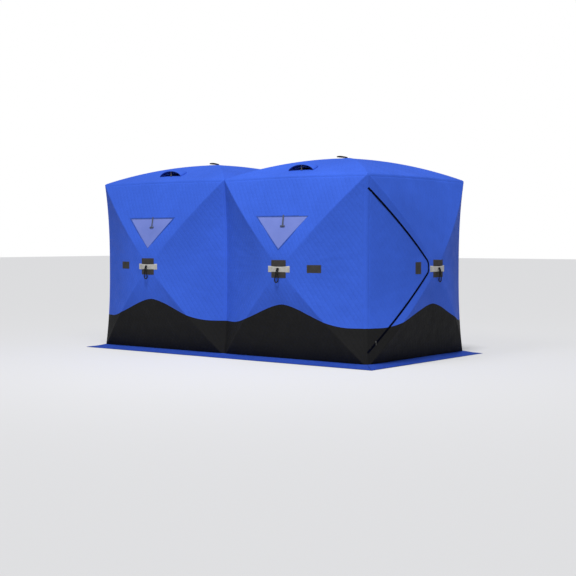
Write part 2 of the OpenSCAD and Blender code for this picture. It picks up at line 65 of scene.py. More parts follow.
class Kind:
    """One panel's shape. bows are left, right, top, bottom; mitre the same order."""

    def __init__(s, down, up, bulge, bows, mitre, wave=True):
        s.hx, s.up, s.down, s.d, s.e, s.mitre, s.wave = A, up, down, bulge, bows, mitre, wave

    def surf(s, p, q):
        p, q = np.asarray(p, float), np.asarray(q, float)
        ap, aq = np.abs(p), np.abs(q)
        m = np.maximum(ap, aq)
        side = ap >= aq
        u = np.where(side, aq / np.where(ap == 0, 1, ap), ap / np.where(aq == 0, 1, aq))
        L, R, U, D = s.e
        b0 = np.where(side, np.where(p < 0, L[0], R[0]), np.where(q > 0, U[0], D[0]))
        b1 = np.where(side, np.where(p < 0, L[1], R[1]), np.where(q > 0, U[1], D[1]))
        k = (1 - u ** 2.5) * m * m
        x = s.hx * p - np.where(side, np.sign(p) * b0 * k, 0)
        y = np.where(q >= 0, s.up, s.down) * q - np.where(side, 0, np.sign(q) * b0 * k)
        r = s.d * (1 - m) + 4 * BOW * m * (1 - m) - b1 * k - BILLOW * (1 - u * u) * 6.75 * m * m * (1 - m)
        return x, y, r

    def pq(s, x, y):
        x, y = np.asarray(x, float), np.asarray(y, float)
        p, q = x / s.hx, y / np.where(y >= 0, s.up, s.down)
        for _ in range(7):
            X, Y, _r = s.surf(p, q)
            p = p + (x - X) / s.hx
            q = q + (y - Y) / np.where(y >= 0, s.up, s.down)
        return p, q

    def raw(s, x, y):
        p, q = s.pq(x, y)
        return s.surf(p, q)[2]

    def height(s, x, y):
        """Outward height with the pole lines and the hub rounded off."""
        x, y = np.asarray(x, float), np.asarray(y, float)
        w = 0.0045 + 0.024 * np.exp(-(x * x + y * y) / 0.085 ** 2)
        total = 1.5 * s.raw(x, y)
        weight = 1.5
        for f, ww, n in ((0.55, 1.0, 6), (1.0, 0.6, 8)):
            for k in range(n):
                a = 2 * math.pi * (k + 0.5 * (n == 8)) / n
                total = total + ww * s.raw(x + w * f * math.cos(a), y + w * f * math.sin(a))
                weight += ww
        return total / weight

    def normal(s, x, y, h=0.004):
        rx = (s.height(x + h, y) - s.height(x - h, y)) / (2 * h)
        ry = (s.height(x, y + h) - s.height(x, y - h)) / (2 * h)
        n = np.stack([-rx, -ry, np.ones_like(rx)], 1)
        return n / np.linalg.norm(n, axis=1)[:, None]

    def points(s, x, y, off, base=None):
        """Points off metres outside the outer face; negative goes inside, with the CAD's mitres."""
        r, n = base if base else (s.height(x, y), s.normal(x, y))
        off = np.broadcast_to(np.asarray(off, float), x.shape)
        P = np.stack([x, y, r], 1) + n * np.maximum(off, 0)[:, None]
        t = np.maximum(-off, 0)
        p, q = s.pq(x, y)
        mx = np.where(p < 0, s.mitre[0], s.mitre[1])
        my = np.where(q < 0, s.mitre[3], s.mitre[2])
        P[:, 0] -= p * t * mx
        P[:, 1] -= q * t * my
        P[:, 2] -= t
        return P


WALL = (HUB, EAVE - HUB, BULGE)
FRONT_1 = Kind(*WALL, (E_CORNER, E_SEAM, E_TOP, E_BASE), (1, 0, 1, 0))
FRONT_2 = Kind(*WALL, (E_SEAM, E_CORNER, E_TOP, E_BASE), (0, 1, 1, 0))
END = Kind(*WALL, (E_CORNER, E_CORNER, E_TOP, E_BASE), (1, 1, 1, 0))
ROOF_1 = Kind(B, B, RISE, (E_ROOF, E_RIDGE, E_ROOF, E_ROOF), (1, 0, 1, 1), False)
ROOF_2 = Kind(B, B, RISE, (E_RIDGE, E_ROOF, E_ROOF, E_ROOF), (0, 1, 1, 1), False)


def on_front(cx):
    return lambda P: np.stack([cx + P[:, 0], -B - P[:, 2], HUB + P[:, 1]], 1)


def on_back(cx):
    return lambda P: np.stack([cx - P[:, 0], B + P[:, 2], HUB + P[:, 1]], 1)


def on_right():
    return lambda P: np.stack([2 * A + P[:, 2], P[:, 0], HUB + P[:, 1]], 1)


def on_left():
    return lambda P: np.stack([-2 * A - P[:, 2], -P[:, 0], HUB + P[:, 1]], 1)


def on_roof(cx):
    return lambda P: np.stack([cx + P[:, 0], P[:, 1], EAVE + P[:, 2]], 1)


# -------------------------------------------------------------- flat outlines
def wave(p):
    return -(0.375 + 0.225 * np.sin(np.radians(90 * np.minimum(np.abs(p) / 0.85, 1))) ** 1.6)


def edge(K, fixed, lo, hi, step=0.012):
    """Points along p = fixed[1] or q = fixed[1], from lo to hi."""
    n = max(2, int(round(abs(hi - lo) / step)) + 1)
    t = np.linspace(lo, hi, n)
    c = np.full(n, float(fixed[1]))
    p, q = (c, t) if fixed[0] == "p" else (t, c)
    x, y, _ = K.surf(p, q)
    return np.stack([x, y], 1)


def wave_line(K, m=1.0):
    p = np.linspace(-m, m, int(164 * m) + 1)
    x, y, _ = K.surf(p, wave(p))
    return np.stack([x, y], 1)


def closed(*parts):
    out = np.concatenate(parts)
    keep = np.ones(len(out), bool)
    d = np.linalg.norm(np.roll(out, -1, 0) - out, axis=1)
    keep[d < 1e-6] = False
    return out[keep]


def blue_outline(K):
    if not K.wave:
        return closed(edge(K, "p+"[:1] and ("q", -1), -1, 1), edge(K, ("p", 1), -1, 1), edge(K, ("q", 1), 1, -1), edge(K, ("p", -1), 1, -1))
    w = -0.6
    return closed(wave_line(K), edge(K, ("p", 1), w, 1), edge(K, ("q", 1), 1, -1), edge(K, ("p", -1), 1, w))


def band_outline(K):
    return closed(edge(K, ("p", -1), -0.6, -0.9975), edge(K, ("q", -0.9975), -1, 1), edge(K, ("p", 1), -0.9975, -0.6), wave_line(K)[::-1])


def inside(poly, x, y):
    """Even-odd test of many points against one closed outline."""
    c = np.zeros(len(x), bool)
    a, b = poly, np.roll(poly, -1, 0)
    for (x0, y0), (x1, y1) in zip(a, b):
        if y0 == y1:
            continue
        hit = (y0 > y) != (y1 > y)
        c[hit] ^= x[hit] < (x1 - x0) * (y[hit] - y0) / (y1 - y0) + x0
    return c


def sampled(line, is_closed, step=0.003):
    pts = np.concatenate([line, line[:1]]) if is_closed else line
    out = []
    for a, b in zip(pts[:-1], pts[1:]):
        n = max(1, int(np.linalg.norm(b - a) / step))
        out.append(a + (b - a) * (np.arange(n) / n)[:, None])
    out.append(pts[-1:])
    return np.concatenate(out)


class Near:
    """Distance from points to a set of lines."""

    def __init__(s, lines):
        pts = np.concatenate([sampled(l, c) for l, c in lines])
        s.t = kdtree.KDTree(len(pts))
        for i, (a, b) in enumerate(pts):
            s.t.insert((a, b, 0), i)
        s.t.balance()

    def __call__(s, x, y):
        return np.array([s.t.find((a, b, 0))[2] for a, b in zip(x, y)])


def offset_line(line, g):
    """A line moved to its right by g."""
    t = np.gradient(line, axis=0)
    t /= np.linalg.norm(t, axis=1)[:, None]
    return line + g * np.stack([t[:, 1], -t[:, 0]], 1)


def resample(line, step):
    d = np.concatenate([[0], np.cumsum(np.linalg.norm(np.diff(line, axis=0), axis=1))])
    n = max(2, int(round(d[-1] / step)) + 1)
    t = np.linspace(0, d[-1], n)
    return np.stack([np.interp(t, d, line[:, k]) for k in range(line.shape[1])], 1)


def grow_polygon(pts, g):
    """A counter-clockwise convex polygon with sharp corners, grown by g."""
    pts = np.array(pts, float)
    n = len(pts)
    out = []
    for i in range(n):
        a, b, c = pts[i - 1], pts[i], pts[(i + 1) % n]
        d1, d2 = (b - a) / np.linalg.norm(b - a), (c - b) / np.linalg.norm(c - b)
        n1, n2 = np.array([d1[1], -d1[0]]), np.array([d2[1], -d2[0]])
        k = n1 + n2
        out.append(b + g * k / (1 + n1 @ n2))
    return np.array(out)


def ring(pts, step=0.012):
    """A closed polygon with points every step along its sides."""
    out = []
    for a, b in zip(pts, np.roll(pts, -1, 0)):
        n = max(1, int(round(np.linalg.norm(b - a) / step)))
        out.append(a + (b - a) * (np.arange(n) / n)[:, None])
    return np.concatenate(out)


def rounded(pts, r, n=4):
    pts = np.array(pts, float)
    out = []
    for i in range(len(pts)):
        a, b, c = pts[i - 1], pts[i], pts[(i + 1) % len(pts)]
        d1, d2 = (a - b) / np.linalg.norm(a - b), (c - b) / np.linalg.norm(c - b)
        half = math.acos(max(-1, min(1, float(d1 @ d2)))) / 2
        t = r / math.tan(half)
        m = b + (d1 + d2) / np.linalg.norm(d1 + d2) * (r / math.sin(half))
        v0, v1 = b + d1 * t - m, b + d2 * t - m
        a0 = math.atan2(v0[1], v0[0])
        da = (math.atan2(v1[1], v1[0]) - a0 + math.pi) % (2 * math.pi) - math.pi
        out += [m + r * np.array([math.cos(a0 + da * k / n), math.sin(a0 + da * k / n)]) for k in range(n + 1)]
    return np.array(out)


def box_outline(cx, cy, w, h, r):
    return rounded([[cx - w / 2, cy - h / 2], [cx + w / 2, cy - h / 2], [cx + w / 2, cy + h / 2], [cx - w / 2, cy + h / 2]], r)


# the window, an inverted triangle
WINDOW = np.array([[-0.355, 0.518], [-0.028, 0.190], [0.296, 0.518]])
# the zipper's line on the door wall, from the upper corner round to the lower one
ZIP_CORNERS = np.array([[-1.0, 0.886], [-0.150, 0.078], [-0.136, 0.044], [-0.136, -0.024], [-0.150, -0.045], [-1.0, -0.903]])


def fillet(pts, r, n=5):
    out = [pts[0]]
    for i in range(1, len(pts) - 1):
        a, b, c = pts[i - 1], pts[i], pts[i + 1]
        d1, d2 = (a - b) / np.linalg.norm(a - b), (c - b) / np.linalg.norm(c - b)
        half = math.acos(max(-1, min(1, float(d1 @ d2)))) / 2
        t = r / math.tan(half)
        for k in range(n + 1):
            f = k / n
            out.append((1 - f) ** 2 * (b + d1 * t) + 2 * f * (1 - f) * b + f * f * (b + d2 * t))
    out.append(pts[-1])
    return np.array(out)


ZIP = resample(fillet(ZIP_CORNERS, 0.040), 0.004)
HINGE_X = -0.848      # the flap's cloth meets the wall here


def zip_line(g, x_from=-1.0):
    """The zipper's line moved out by g, on the part right of x_from. It runs from top to bottom."""
    l = offset_line(ZIP, -g)
    l = l[l[:, 0] >= x_from - 0.004]
    l = resample(l, 0.009)
    return l


def door_outline(g, x_left):
    l = zip_line(g, x_left)
    l = l[l[:, 0] > x_left + 0.003]
    full = offset_line(ZIP, -g)
    top = np.interp(x_left, *full[: len(full) // 2].T)
    low = np.interp(x_left, *full[len(full) // 2:][::-1].T)
    left = resample(np.array([[x_left, low], [x_left, top]]), 0.011)
    return closed(left, l)


# ---------------------------------------------------------------- noise
def _hash(i, j, seed):
    v = np.sin(i * 127.1 + j * 311.7 + seed * 74.7) * 43758.5453
    return v - np.floor(v)


def vnoise(x, y, seed=0.0):
    """Smooth noise from -1 to 1 with a cell of 1."""
    i, j = np.floor(x), np.floor(y)
    fx, fy = x - i, y - j
    fx, fy = fx * fx * (3 - 2 * fx), fy * fy * (3 - 2 * fy)
    a, b, c, d = _hash(i, j, seed), _hash(i + 1, j, seed), _hash(i, j + 1, seed), _hash(i + 1, j + 1, seed)
    return 2 * ((a * (1 - fx) + b * fx) * (1 - fy) + (c * (1 - fx) + d * fx) * fy) - 1


def smooth(v, lo, hi):
    f = np.clip((v - lo) / (hi - lo), 0, 1)
    return f * f * (3 - 2 * f)


# ---------------------------------------------------------------- mesh makers
def new_object(name, me, mats):
    for m in mats:
        me.materials.append(m)
    o = bpy.data.objects.new(name, me)
    COLL.objects.link(o)
    return o


def mesh_object(name, verts, faces, mats, smooth_angle=50, mat_index=None, attrs=None):
    me = bpy.data.meshes.new(name)
    me.from_pydata([tuple(v) for v in np.asarray(verts, float).tolist()], [], faces)
    me.polygons.foreach_set("use_smooth", [True] * len(me.polygons))
    if mat_index is not None:
        me.polygons.foreach_set("material_index", np.asarray(mat_index, np.int32))
    for n, v in (attrs or {}).items():
        at = me.attributes.new(n, "FLOAT_VECTOR", "POINT")
        at.data.foreach_set("vector", np.ascontiguousarray(v, np.float32).ravel())
    me.update()
    if smooth_angle:
        me.set_sharp_from_angle(angle=math.radians(smooth_angle))
    return new_object(name, me, mats)


def triangulate(lines, lattice, keep):
    """Flat triangles that follow the lines and hold the lattice points, where keep(x, y) is true."""
    pts, segs = [], []
    for l, c in lines:
        k = len(pts)
        pts += l.tolist()
        n = len(l)
        segs += [(k + i, k + (i + 1) % n) for i in range(n if c else n - 1)]
    pts += lattice.tolist()
    V, _e, F, *_ = geometry.delaunay_2d_cdt([Vector(p) for p in pts], segs, [], 0, 1e-6)
    V = np.array([tuple(v) for v in V])
    F = np.array([f for f in F if len(f) == 3])
    C = V[F].mean(1)
    area = 0.5 * ((V[F[:, 1], 0] - V[F[:, 0], 0]) * (V[F[:, 2], 1] - V[F[:, 0], 1])
                  - (V[F[:, 2], 0] - V[F[:, 0], 0]) * (V[F[:, 1], 1] - V[F[:, 0], 1]))
    ok = keep(C[:, 0], C[:, 1]) & (np.abs(area) > 1e-9)
    F = F[ok]
    flip = area[ok] < 0
    F[flip] = F[flip][:, ::-1]
    used = np.unique(F)
    back = np.full(len(V), -1)
    back[used] = np.arange(len(used))
    return V[used], back[F]


def lattice_points(x0, x1, y0, y1, n, ox=0.0, oy=0.0):
    a = (QW / 2 / n, QH / 2 / n)
    i0, i1 = int(x0 / a[0]) - 2, int(x1 / a[0]) + 2
    j0, j1 = int(y0 / a[1]) - 2, int(y1 / a[1]) + 2
    i, j = np.meshgrid(np.arange(i0, i1 + 1), np.arange(j0, j1 + 1))
    ok = (i + j) % 2 == 0
    return np.stack([i[ok] * a[0] + ox, j[ok] * a[1] + oy], 1)


def boundary(F):
    e = np.concatenate([F[:, [0, 1]], F[:, [1, 2]], F[:, [2, 0]]])
    key = {(int(a), int(b)) for a, b in e}
    return [(a, b) for a, b in key if (b, a) not in key]


def shell(name, K, place, V, F, top, bottom, mats, attrs=None, inner_mat=0, smooth_angle=50):
    """A closed cloth shell between two offsets from the panel's outer face."""
    x, y = V[:, 0], V[:, 1]
    base = (K.height(x, y), K.normal(x, y))
    P0 = place(K.points(x, y, top, base))
    P1 = place(K.points(x, y, bottom, base))
    n = len(V)
    rim = [(b, a, a + n, b + n) for a, b in boundary(F)]
    faces = F.tolist() + (F[:, ::-1] + n).tolist() + rim
    mi = [0] * len(F) + [inner_mat] * len(F) + [0] * len(rim)
    at = {k: np.concatenate([v, v]) for k, v in (attrs or {}).items()}
    return mesh_object(name, np.concatenate([P0, P1]), faces, mats, smooth_angle, mi, at)


def pillow(x, y, ox=0.0, oy=0.0):
    s = (x - ox) / QW + (y - oy) / QH
    t = -(x - ox) / QW + (y - oy) / QH
    fs, ft = s - np.floor(s + 1e-6), t - np.floor(t + 1e-6)
    h = np.sqrt(np.clip(16 * fs * (1 - fs) * ft * (1 - ft), 0, 1))
    return s, t, h


def pole_distance(K, x, y):
    """Distance to the nearest pole line, in the panel's plane."""
    p, q = K.pq(x, y)
    h = np.where(q >= 0, K.up, K.down)
    d = np.abs(np.abs(p) - np.abs(q)) * K.hx * h / np.hypot(K.hx, h)
    return d


def pole_rows(K):
    rows = []
    for sx in (-1, 1):
        for sy, h in ((1, K.up), (-1, K.down)):
            dx, dy = sx * K.hx, sy * h
            L = math.hypot(dx, dy)
            nx, ny = -dy / L, dx / L
            for off, t0 in ((0, 0.030), (0.0045, 0.045), (-0.0045, 0.045), (0.011, 0.07), (-0.011, 0.07)):
                t = np.linspace(t0 / L, 0.985 - abs(off) * 0.8, 122)
                rows.append((np.stack([dx * t + nx * off, dy * t + ny * off], 1), False))
    return rows


def seam_rows(K):
    """Rows beside the edges of a panel that carry its stitched seams."""
    rows = []
    dq, dp = SEAM_IN / K.up, SEAM_IN / K.hx
    s = 0.0026
    lo = -1 if not K.wave else -0.985
    for sgn in (-1, 1):
        for d in (0.005, SEAM_IN - s, SEAM_IN, SEAM_IN + s):
            f = 1 - d / K.hx
            rows.append((edge(K, ("p", sgn * f), lo * 0.985, 0.985), False))
    for d in (0.005, SEAM_IN - s, SEAM_IN, SEAM_IN + s):
        rows.append((edge(K, ("q", 1 - d / K.up), -0.985, 0.985), False))
        if not K.wave:
            rows.append((edge(K, ("q", -1 + d / K.down), -0.985, 0.985), False))
    return rows


def edge_distance(K, x, y, bottom):
    p, q = K.pq(x, y)
    d = np.minimum((1 - np.abs(p)) * K.hx, (1 - q) * K.up)
    if bottom:
        d = np.minimum(d, (1 + q) * K.down)
    return np.maximum(d, 0)


class Cloth:
    """The relief of one panel: quilting, seams and slack, the same for each piece cut from it."""

    def __init__(s, K, seed, flats=(), bindings=()):
        s.K, s.seed = K, seed
        s.flats = [(poly, Near([(poly, True)])) for poly in flats]
        s.bind = Near(bindings) if bindings else None

    def __call__(s, x, y):
        K = s.K
        es, et, h = pillow(x, y)
        d_edge = edge_distance(K, x, y, not K.wave)
        d_pole = pole_distance(K, x, y)
        mask = smooth(d_edge, SEAM_IN, SEAM_IN + 0.012)
        if s.bind:
            mask *= smooth(s.bind(x, y), 0.010, 0.024)
        calm = np.ones_like(x)
        for poly, near in s.flats:
            inn, d = inside(poly, x, y), near(x, y)
            mask *= np.where(inn, 0, smooth(d, 0.003, 0.014))
            calm *= np.where(inn, 0, smooth(d, 0.0, 0.050))
        mask *= 1 - 0.55 * np.exp(-(d_pole / 0.014) ** 2)
        # each diamond swells a little differently
        ci, cj = np.floor(es), np.floor(et)
        amp = PILLOW * (1.0 if K.wave and K is not END else 0.55) * (0.86 + 0.28 * _hash(ci, cj, s.seed))
        rho = np.hypot(x, y)
        ang = np.arctan2(y, x)
        slack = smooth(d_edge, 0.0, 0.12) * smooth(d_pole, 0.0, 0.09)
        wr = (0.0022 * vnoise(x * 4.1 + 3, y * 4.1 + 7, s.seed + 1) + 0.0009 * vnoise(x * 11, y * 11, s.seed + 2)) * slack
        # tension lines run out from the hub and gather at the corners
        pull = vnoise(ang * 14 + 5, rho * 1.7, s.seed + 3) * smooth(rho, 0.12, 0.45) * smooth(d_edge, 0, 0.05)
        wr += 0.0009 * pull
        # puckers beside the seams
        pk = vnoise((x + y) * 38, (x - y) * 38, s.seed + 4) * np.exp(-((d_edge - SEAM_IN - 0.006) / 0.012) ** 2)
        wr += 0.0006 * pk
        wr *= calm
        groove = -0.0012 * np.exp(-((d_edge - SEAM_IN) / 0.0022) ** 2)
        roundoff = -0.0016 * np.clip(1 - d_edge / 0.006, 0, 1) ** 2
        off = h * amp * mask + wr + groove + roundoff
        q = np.stack([es, et, mask], 1)
        d_bind = s.bind(x, y) if s.bind else np.ones_like(x)
        return off, {"quilt": q, "loc": np.stack([x, y, d_edge], 1)}


def panel_piece(name, K, place, cloth, outline, holes, extra, mats, keep_box=None, n=QN, clip=None):
    """A quilted piece of cloth: outline minus holes, with extra lines that the mesh follows."""
    lines = [(outline, True)] + [(h, True) for h in holes] + list(extra)
    rows = pole_rows(K) + seam_rows(K)
    lo, hi = outline.min(0), outline.max(0)
    lat = lattice_points(lo[0], hi[0], lo[1], hi[1], n)
    keep = inside(outline, lat[:, 0], lat[:, 1])
    for h in holes:
        keep &= ~inside(h, lat[:, 0], lat[:, 1])
    lat = lat[keep]
    rows2 = []
    near_edge = Near([(outline, True)] + [(h, True) for h in holes] + list(extra))
    for l, c in rows:                      # rows are cut back to this piece
        ok = inside(outline, l[:, 0], l[:, 1])
        for h in holes:
            ok &= ~inside(h, l[:, 0], l[:, 1])
        ok &= near_edge(l[:, 0], l[:, 1]) > 0.0024
        k = 0
        while k < len(l):
            if not ok[k]:
                k += 1
                continue
            j = k
            while j < len(l) and ok[j]:
                j += 1
            if j - k > 2:
                rows2.append((l[k:j], False))
            k = j
    near = Near([(outline, True)] + [(h, True) for h in holes] + list(extra) + rows2)
    lat = lat[near(lat[:, 0], lat[:, 1]) > 0.0050]

    def keep_tri(x, y):
        k = inside(outline, x, y)
        for h in holes:
            k &= ~inside(h, x, y)
        return k
    V, F = triangulate(lines + rows2, lat, keep_tri)
    off, at = cloth(V[:, 0], V[:, 1])
    return shell(name, K, place, V, F, off, -T + 0.4 * np.minimum(off, 0), mats, at, 0)


def trim_piece(name, K, place, outline, holes, lo_off, hi_off, mats, step=0.012, extra=(), attrs=None, rows=True, crown=0.0):
    """A flat piece of trim that lies on the panel between two heights above it."""
    x0, y0 = outline.min(0)
    x1, y1 = outline.max(0)
    gx, gy = np.meshgrid(np.arange(x0 + step / 2, x1, step), np.arange(y0 + step / 2, y1, step))
    lat = np.stack([gx.ravel(), gy.ravel()], 1)
    k = inside(outline, lat[:, 0], lat[:, 1])
    for h in holes:
        k &= ~inside(h, lat[:, 0], lat[:, 1])
    lat = lat[k]
    lines = [(outline, True)] + [(h, True) for h in holes] + list(extra)
    if rows:
        near_edge = Near(lines)
        for l, _c in pole_rows(K):
            ok = inside(outline, l[:, 0], l[:, 1]) & (near_edge(l[:, 0], l[:, 1]) > 0.002)
            for h in holes:
                ok &= ~inside(h, l[:, 0], l[:, 1])
            i = np.where(ok)[0]
            if len(i) > 3 and (np.diff(i) == 1).all():
                lines.append((l[i], False))
    near = Near(lines)
    if len(lat):
        lat = lat[near(lat[:, 0], lat[:, 1]) > step * 0.4]

    def keep_tri(x, y):
        k = inside(outline, x, y)
        for h in holes:
            k &= ~inside(h, x, y)
        return k
    V, F = triangulate(lines, lat, keep_tri)
    d = Near([(outline, True)] + [(h, True) for h in holes])(V[:, 0], V[:, 1])
    hi = hi_off(V[:, 0], V[:, 1]) if callable(hi_off) else np.full(len(V), hi_off)
    lo = lo_off(V[:, 0], V[:, 1]) if callable(lo_off) else np.full(len(V), lo_off)
    hi = hi + crown * (1 - np.exp(-(d / 0.003) ** 2)) - crown
    at = {"loc": np.stack([V[:, 0], V[:, 1], d], 1)}
    return shell(name, K, place, V, F, hi, lo, mats, at)


def join(name, objs):
    """One object from several meshes with the same material list."""
    bpy.ops.object.select_all(action="DESELECT")
    for o in objs:
        o.select_set(True)
    bpy.context.view_layer.objects.active = objs[0]
    bpy.ops.object.join()
    objs[0].name = name
    objs[0].data.name = name
    return objs[0]


# ---------------------------------------------------------------- materials
class Nodes:
    def __init__(s, name):
        s.m = bpy.data.materials.new(name)
        s.m.use_nodes = True
        s.t = s.m.node_tree
        s.t.nodes.clear()
        s.out = s.t.nodes.new("ShaderNodeOutputMaterial")
        s.b = s.t.nodes.new("ShaderNodeBsdfPrincipled")
        s.t.links.new(s.b.outputs[0], s.out.inputs[0])

    def new(s, kind, **kw):
        n = s.t.nodes.new("ShaderNode" + kind)
        for k, v in kw.items():
            setattr(n, k, v)
        return n

    def link(s, a, b):
        s.t.links.new(a, b)
        return b

    def val(s, sock, v):
        if hasattr(v, "is_linked") or hasattr(v, "links"):
            s.link(v, sock)
        else:
            sock.default_value = v

    def math(s, op, a, b=None, c=None, clamp=False):
        n = s.new("Math", operation=op, use_clamp=clamp)
        for i, v in enumerate((a, b, c)):
            if v is not None:
                s.val(n.inputs[i], v)
        return n.outputs[0]

    def attr(s, name):
        n = s.new("Attribute", attribute_name=name)
        return n.outputs["Vector"]

    def xyz(s, v):
        n = s.new("SeparateXYZ")
        s.link(v, n.inputs[0])
        return n.outputs

    def coords(s):
        return s.new("TexCoord").outputs["Object"]

    def noise(s, vec, scale, detail=3.0, rough=0.5):
        n = s.new("TexNoise")
        s.link(vec, n.inputs["Vector"])
        n.inputs["Scale"].default_value = scale
        n.inputs["Detail"].default_value = detail
        n.inputs["Roughness"].default_value = rough
        return n.outputs["Fac"]

    def ramp(s, fac, lo, hi, a=0.0, b=1.0):
        n = s.new("MapRange")
        s.val(n.inputs[0], fac)
        n.inputs[1].default_value, n.inputs[2].default_value = lo, hi
        n.inputs[3].default_value, n.inputs[4].default_value = a, b
        return n.outputs[0]

    def mix(s, fac, a, b, mode="MIX"):
        n = s.new("Mix", data_type="RGBA", blend_type=mode)
        s.val(n.inputs[0], fac)
        for i, v in ((6, a), (7, b)):
            if hasattr(v, "links"):
                s.link(v, n.inputs[i])
            else:
                n.inputs[i].default_value = (*v, 1)
        return n.outputs[2]

    def bump(s, height, dist, strength=1.0, normal=None):
        n = s.new("Bump")
        n.inputs["Distance"].default_value = dist
        n.inputs["Strength"].default_value = strength
        s.link(height, n.inputs["Height"])
        if normal:
            s.link(normal, n.inputs["Normal"])
        return n.outputs[0]

    def set(s, **kw):
        names = dict(color="Base Color", rough="Roughness", metal="Metallic", normal="Normal", sheen="Sheen Weight",
                     sheen_rough="Sheen Roughness", sheen_tint="Sheen Tint", spec="Specular IOR Level", alpha="Alpha",
                     trans="Transmission Weight", coat="Coat Weight", coat_rough="Coat Roughness", sss="Subsurface Weight")
        for k, v in kw.items():
            sock = s.b.inputs[names[k]]
            if isinstance(v, tuple) and len(v) == 3 and sock.type == "RGBA":
                v = (*v, 1)
            s.val(sock, v)
        return s.m


def srgb(r, g, b):
    f = lambda c: c / 255 / 12.92 if c / 255 <= 0.04045 else ((c / 255 + 0.055) / 1.055) ** 2.4
    return (f(r), f(g), f(b))


def scaled(c, k):
    return tuple(min(1, v * k) for v in c)


def weave(N, loc, pitch):
    """Plain weave: threads over and under, from the piece's own flat coordinates."""
    x, y, _z = N.xyz(loc)
    k = math.pi / pitch
    sx, sy = N.math("SINE", N.math("MULTIPLY", x, k)), N.math("SINE", N.math("MULTIPLY", y, k))
    return N.math("MULTIPLY", sx, sy)


def quilted(name, col, rough=0.60, groove=0.84, spec=0.10, other=0.5, crumple=1.0):
    """Quilted cloth; groove is the tone of the painted shade in the hollows along the steep stitch lines, other the
    share of that shade on the lines that cross them.
    """
    N = Nodes(name)
    loc, qv, obj = N.attr("loc"), N.attr("quilt"), N.coords()
    s, t, mask = N.xyz(qv)

    def to_line(v):   # distance to the nearest stitched line, in diamonds
        return N.math("ABSOLUTE", N.math("SUBTRACT", N.math("FRACT", N.math("ADD", v, 0.5)), 0.5))
    ds, dt = to_line(s), to_line(t)
    # line marks where painted shade falls in the quilting's stitched hollows
    line = N.math("MAXIMUM", N.ramp(ds, 0.0, 0.14, 1, 0), N.math("MULTIPLY", N.ramp(dt, 0.0, 0.11, 1, 0), other))
    line = N.math("MULTIPLY", line, mask)
    # dashes of thread along the lines
    dash_s = N.math("GREATER_THAN", N.math("FRACT", N.math("MULTIPLY", t, 11.0)), 0.36)
    dash_t = N.math("GREATER_THAN", N.math("FRACT", N.math("MULTIPLY", s, 11.0)), 0.36)
    th_s = N.math("MULTIPLY", N.math("LESS_THAN", ds, 0.010), dash_s)
    th_t = N.math("MULTIPLY", N.math("LESS_THAN", dt, 0.010), dash_t)
    thread = N.math("MULTIPLY", N.math("MAXIMUM", th_s, th_t), N.math("GREATER_THAN", mask, 0.25))
    big = N.noise(obj, 1.6, 3)
    mid = N.noise(obj, 9.0, 4, 0.6)
    fine = N.noise(obj, 420.0, 2)
    c = N.mix(N.ramp(big, 0.3, 0.7), scaled(col, 0.90), scaled(col, 1.09))
    c = N.mix(N.ramp(mid, 0.35, 0.65, 0, 0.35), c, scaled(col, 0.86))
    # painted shade: the colour darkens along the stitched quilting lines, standing in for the shade in their hollows
    c = N.mix(N.math("MULTIPLY", line, 1 - groove), c, scaled(col, 0.30))
    c = N.mix(N.ramp(fine, 0.3, 0.7, 0, 0.22), c, scaled(col, 0.72))
    # the seam's thread beside the edges
    _x, _y, de = N.xyz(loc)
    sd = N.math("ABSOLUTE", N.math("SUBTRACT", de, SEAM_IN))
    sdash = N.math("GREATER_THAN", N.math("FRACT", N.math("MULTIPLY", N.math("ADD", _x, _y), 210.0)), 0.35)
    seam = N.math("MULTIPLY", N.math("LESS_THAN", sd, 0.0007), sdash)
    c = N.mix(N.math("MAXIMUM", N.math("MULTIPLY", thread, 0.5), N.math("MULTIPLY", seam, 0.6)), c, scaled(col, 1.5))
    wv = weave(N, loc, 0.0011)
    n = N.bump(wv, 0.00018, 0.55)
    n = N.bump(N.noise(obj, 60.0, 4, 0.6), 0.0009, 0.35 * crumple, n)
    n = N.bump(N.math("MULTIPLY", line, -1.0), 0.0011, 0.55, n)
    n = N.bump(thread, 0.0005, 0.6, n)
    r = N.ramp(mid, 0.3, 0.7, rough - 0.05, rough + 0.07)
    return N.set(color=c, rough=r, normal=n, spec=spec)


def cloth_plain(name, col, rough=0.65, pitch=0.0011, spec=0.12, edge_line=None):
    """Plain woven trim; edge_line is (distance from the edge, width, colour) of a stitch line."""
    N = Nodes(name)
    loc, obj = N.attr("loc"), N.coords()
    mid = N.noise(obj, 24.0, 4, 0.6)
    c = N.mix(N.ramp(mid, 0.3, 0.7), scaled(col, 0.84), scaled(col, 1.14))
    wv = weave(N, loc, pitch)
    c = N.mix(N.ramp(wv, -1, 1, 0.0, 0.35), c, scaled(col, 0.66))
    if edge_line:
        _x, _y, d = N.xyz(loc)
        near = N.math("LESS_THAN", N.math("ABSOLUTE", N.math("SUBTRACT", d, edge_line[0])), edge_line[1])
        dash = N.math("GREATER_THAN", N.math("FRACT", N.math("MULTIPLY", N.math("ADD", _x, N.math("MULTIPLY", _y, 0.97)), 230.0)), 0.33)
        c = N.mix(N.math("MULTIPLY", near, dash), c, edge_line[2])
    n = N.bump(wv, 0.00025, 0.6)
    n = N.bump(N.noise(obj, 90.0, 3, 0.6), 0.0007, 0.3, n)
    return N.set(color=c, rough=rough, normal=n, spec=spec)


def plastic(name, col, rough=0.42, grain=0.00025, spec=0.45):
    N = Nodes(name)
    obj = N.coords()
    mid = N.noise(obj, 35.0, 4, 0.6)
    fine = N.noise(obj, 900.0, 2)
    c = N.mix(N.ramp(mid, 0.3, 0.7), scaled(col, 0.8), scaled(col, 1.2))
    n = N.bump(fine, grain, 0.5)
    return N.set(color=c, rough=N.ramp(mid, 0.3, 0.7, rough - 0.06, rough + 0.1), normal=n, spec=spec)


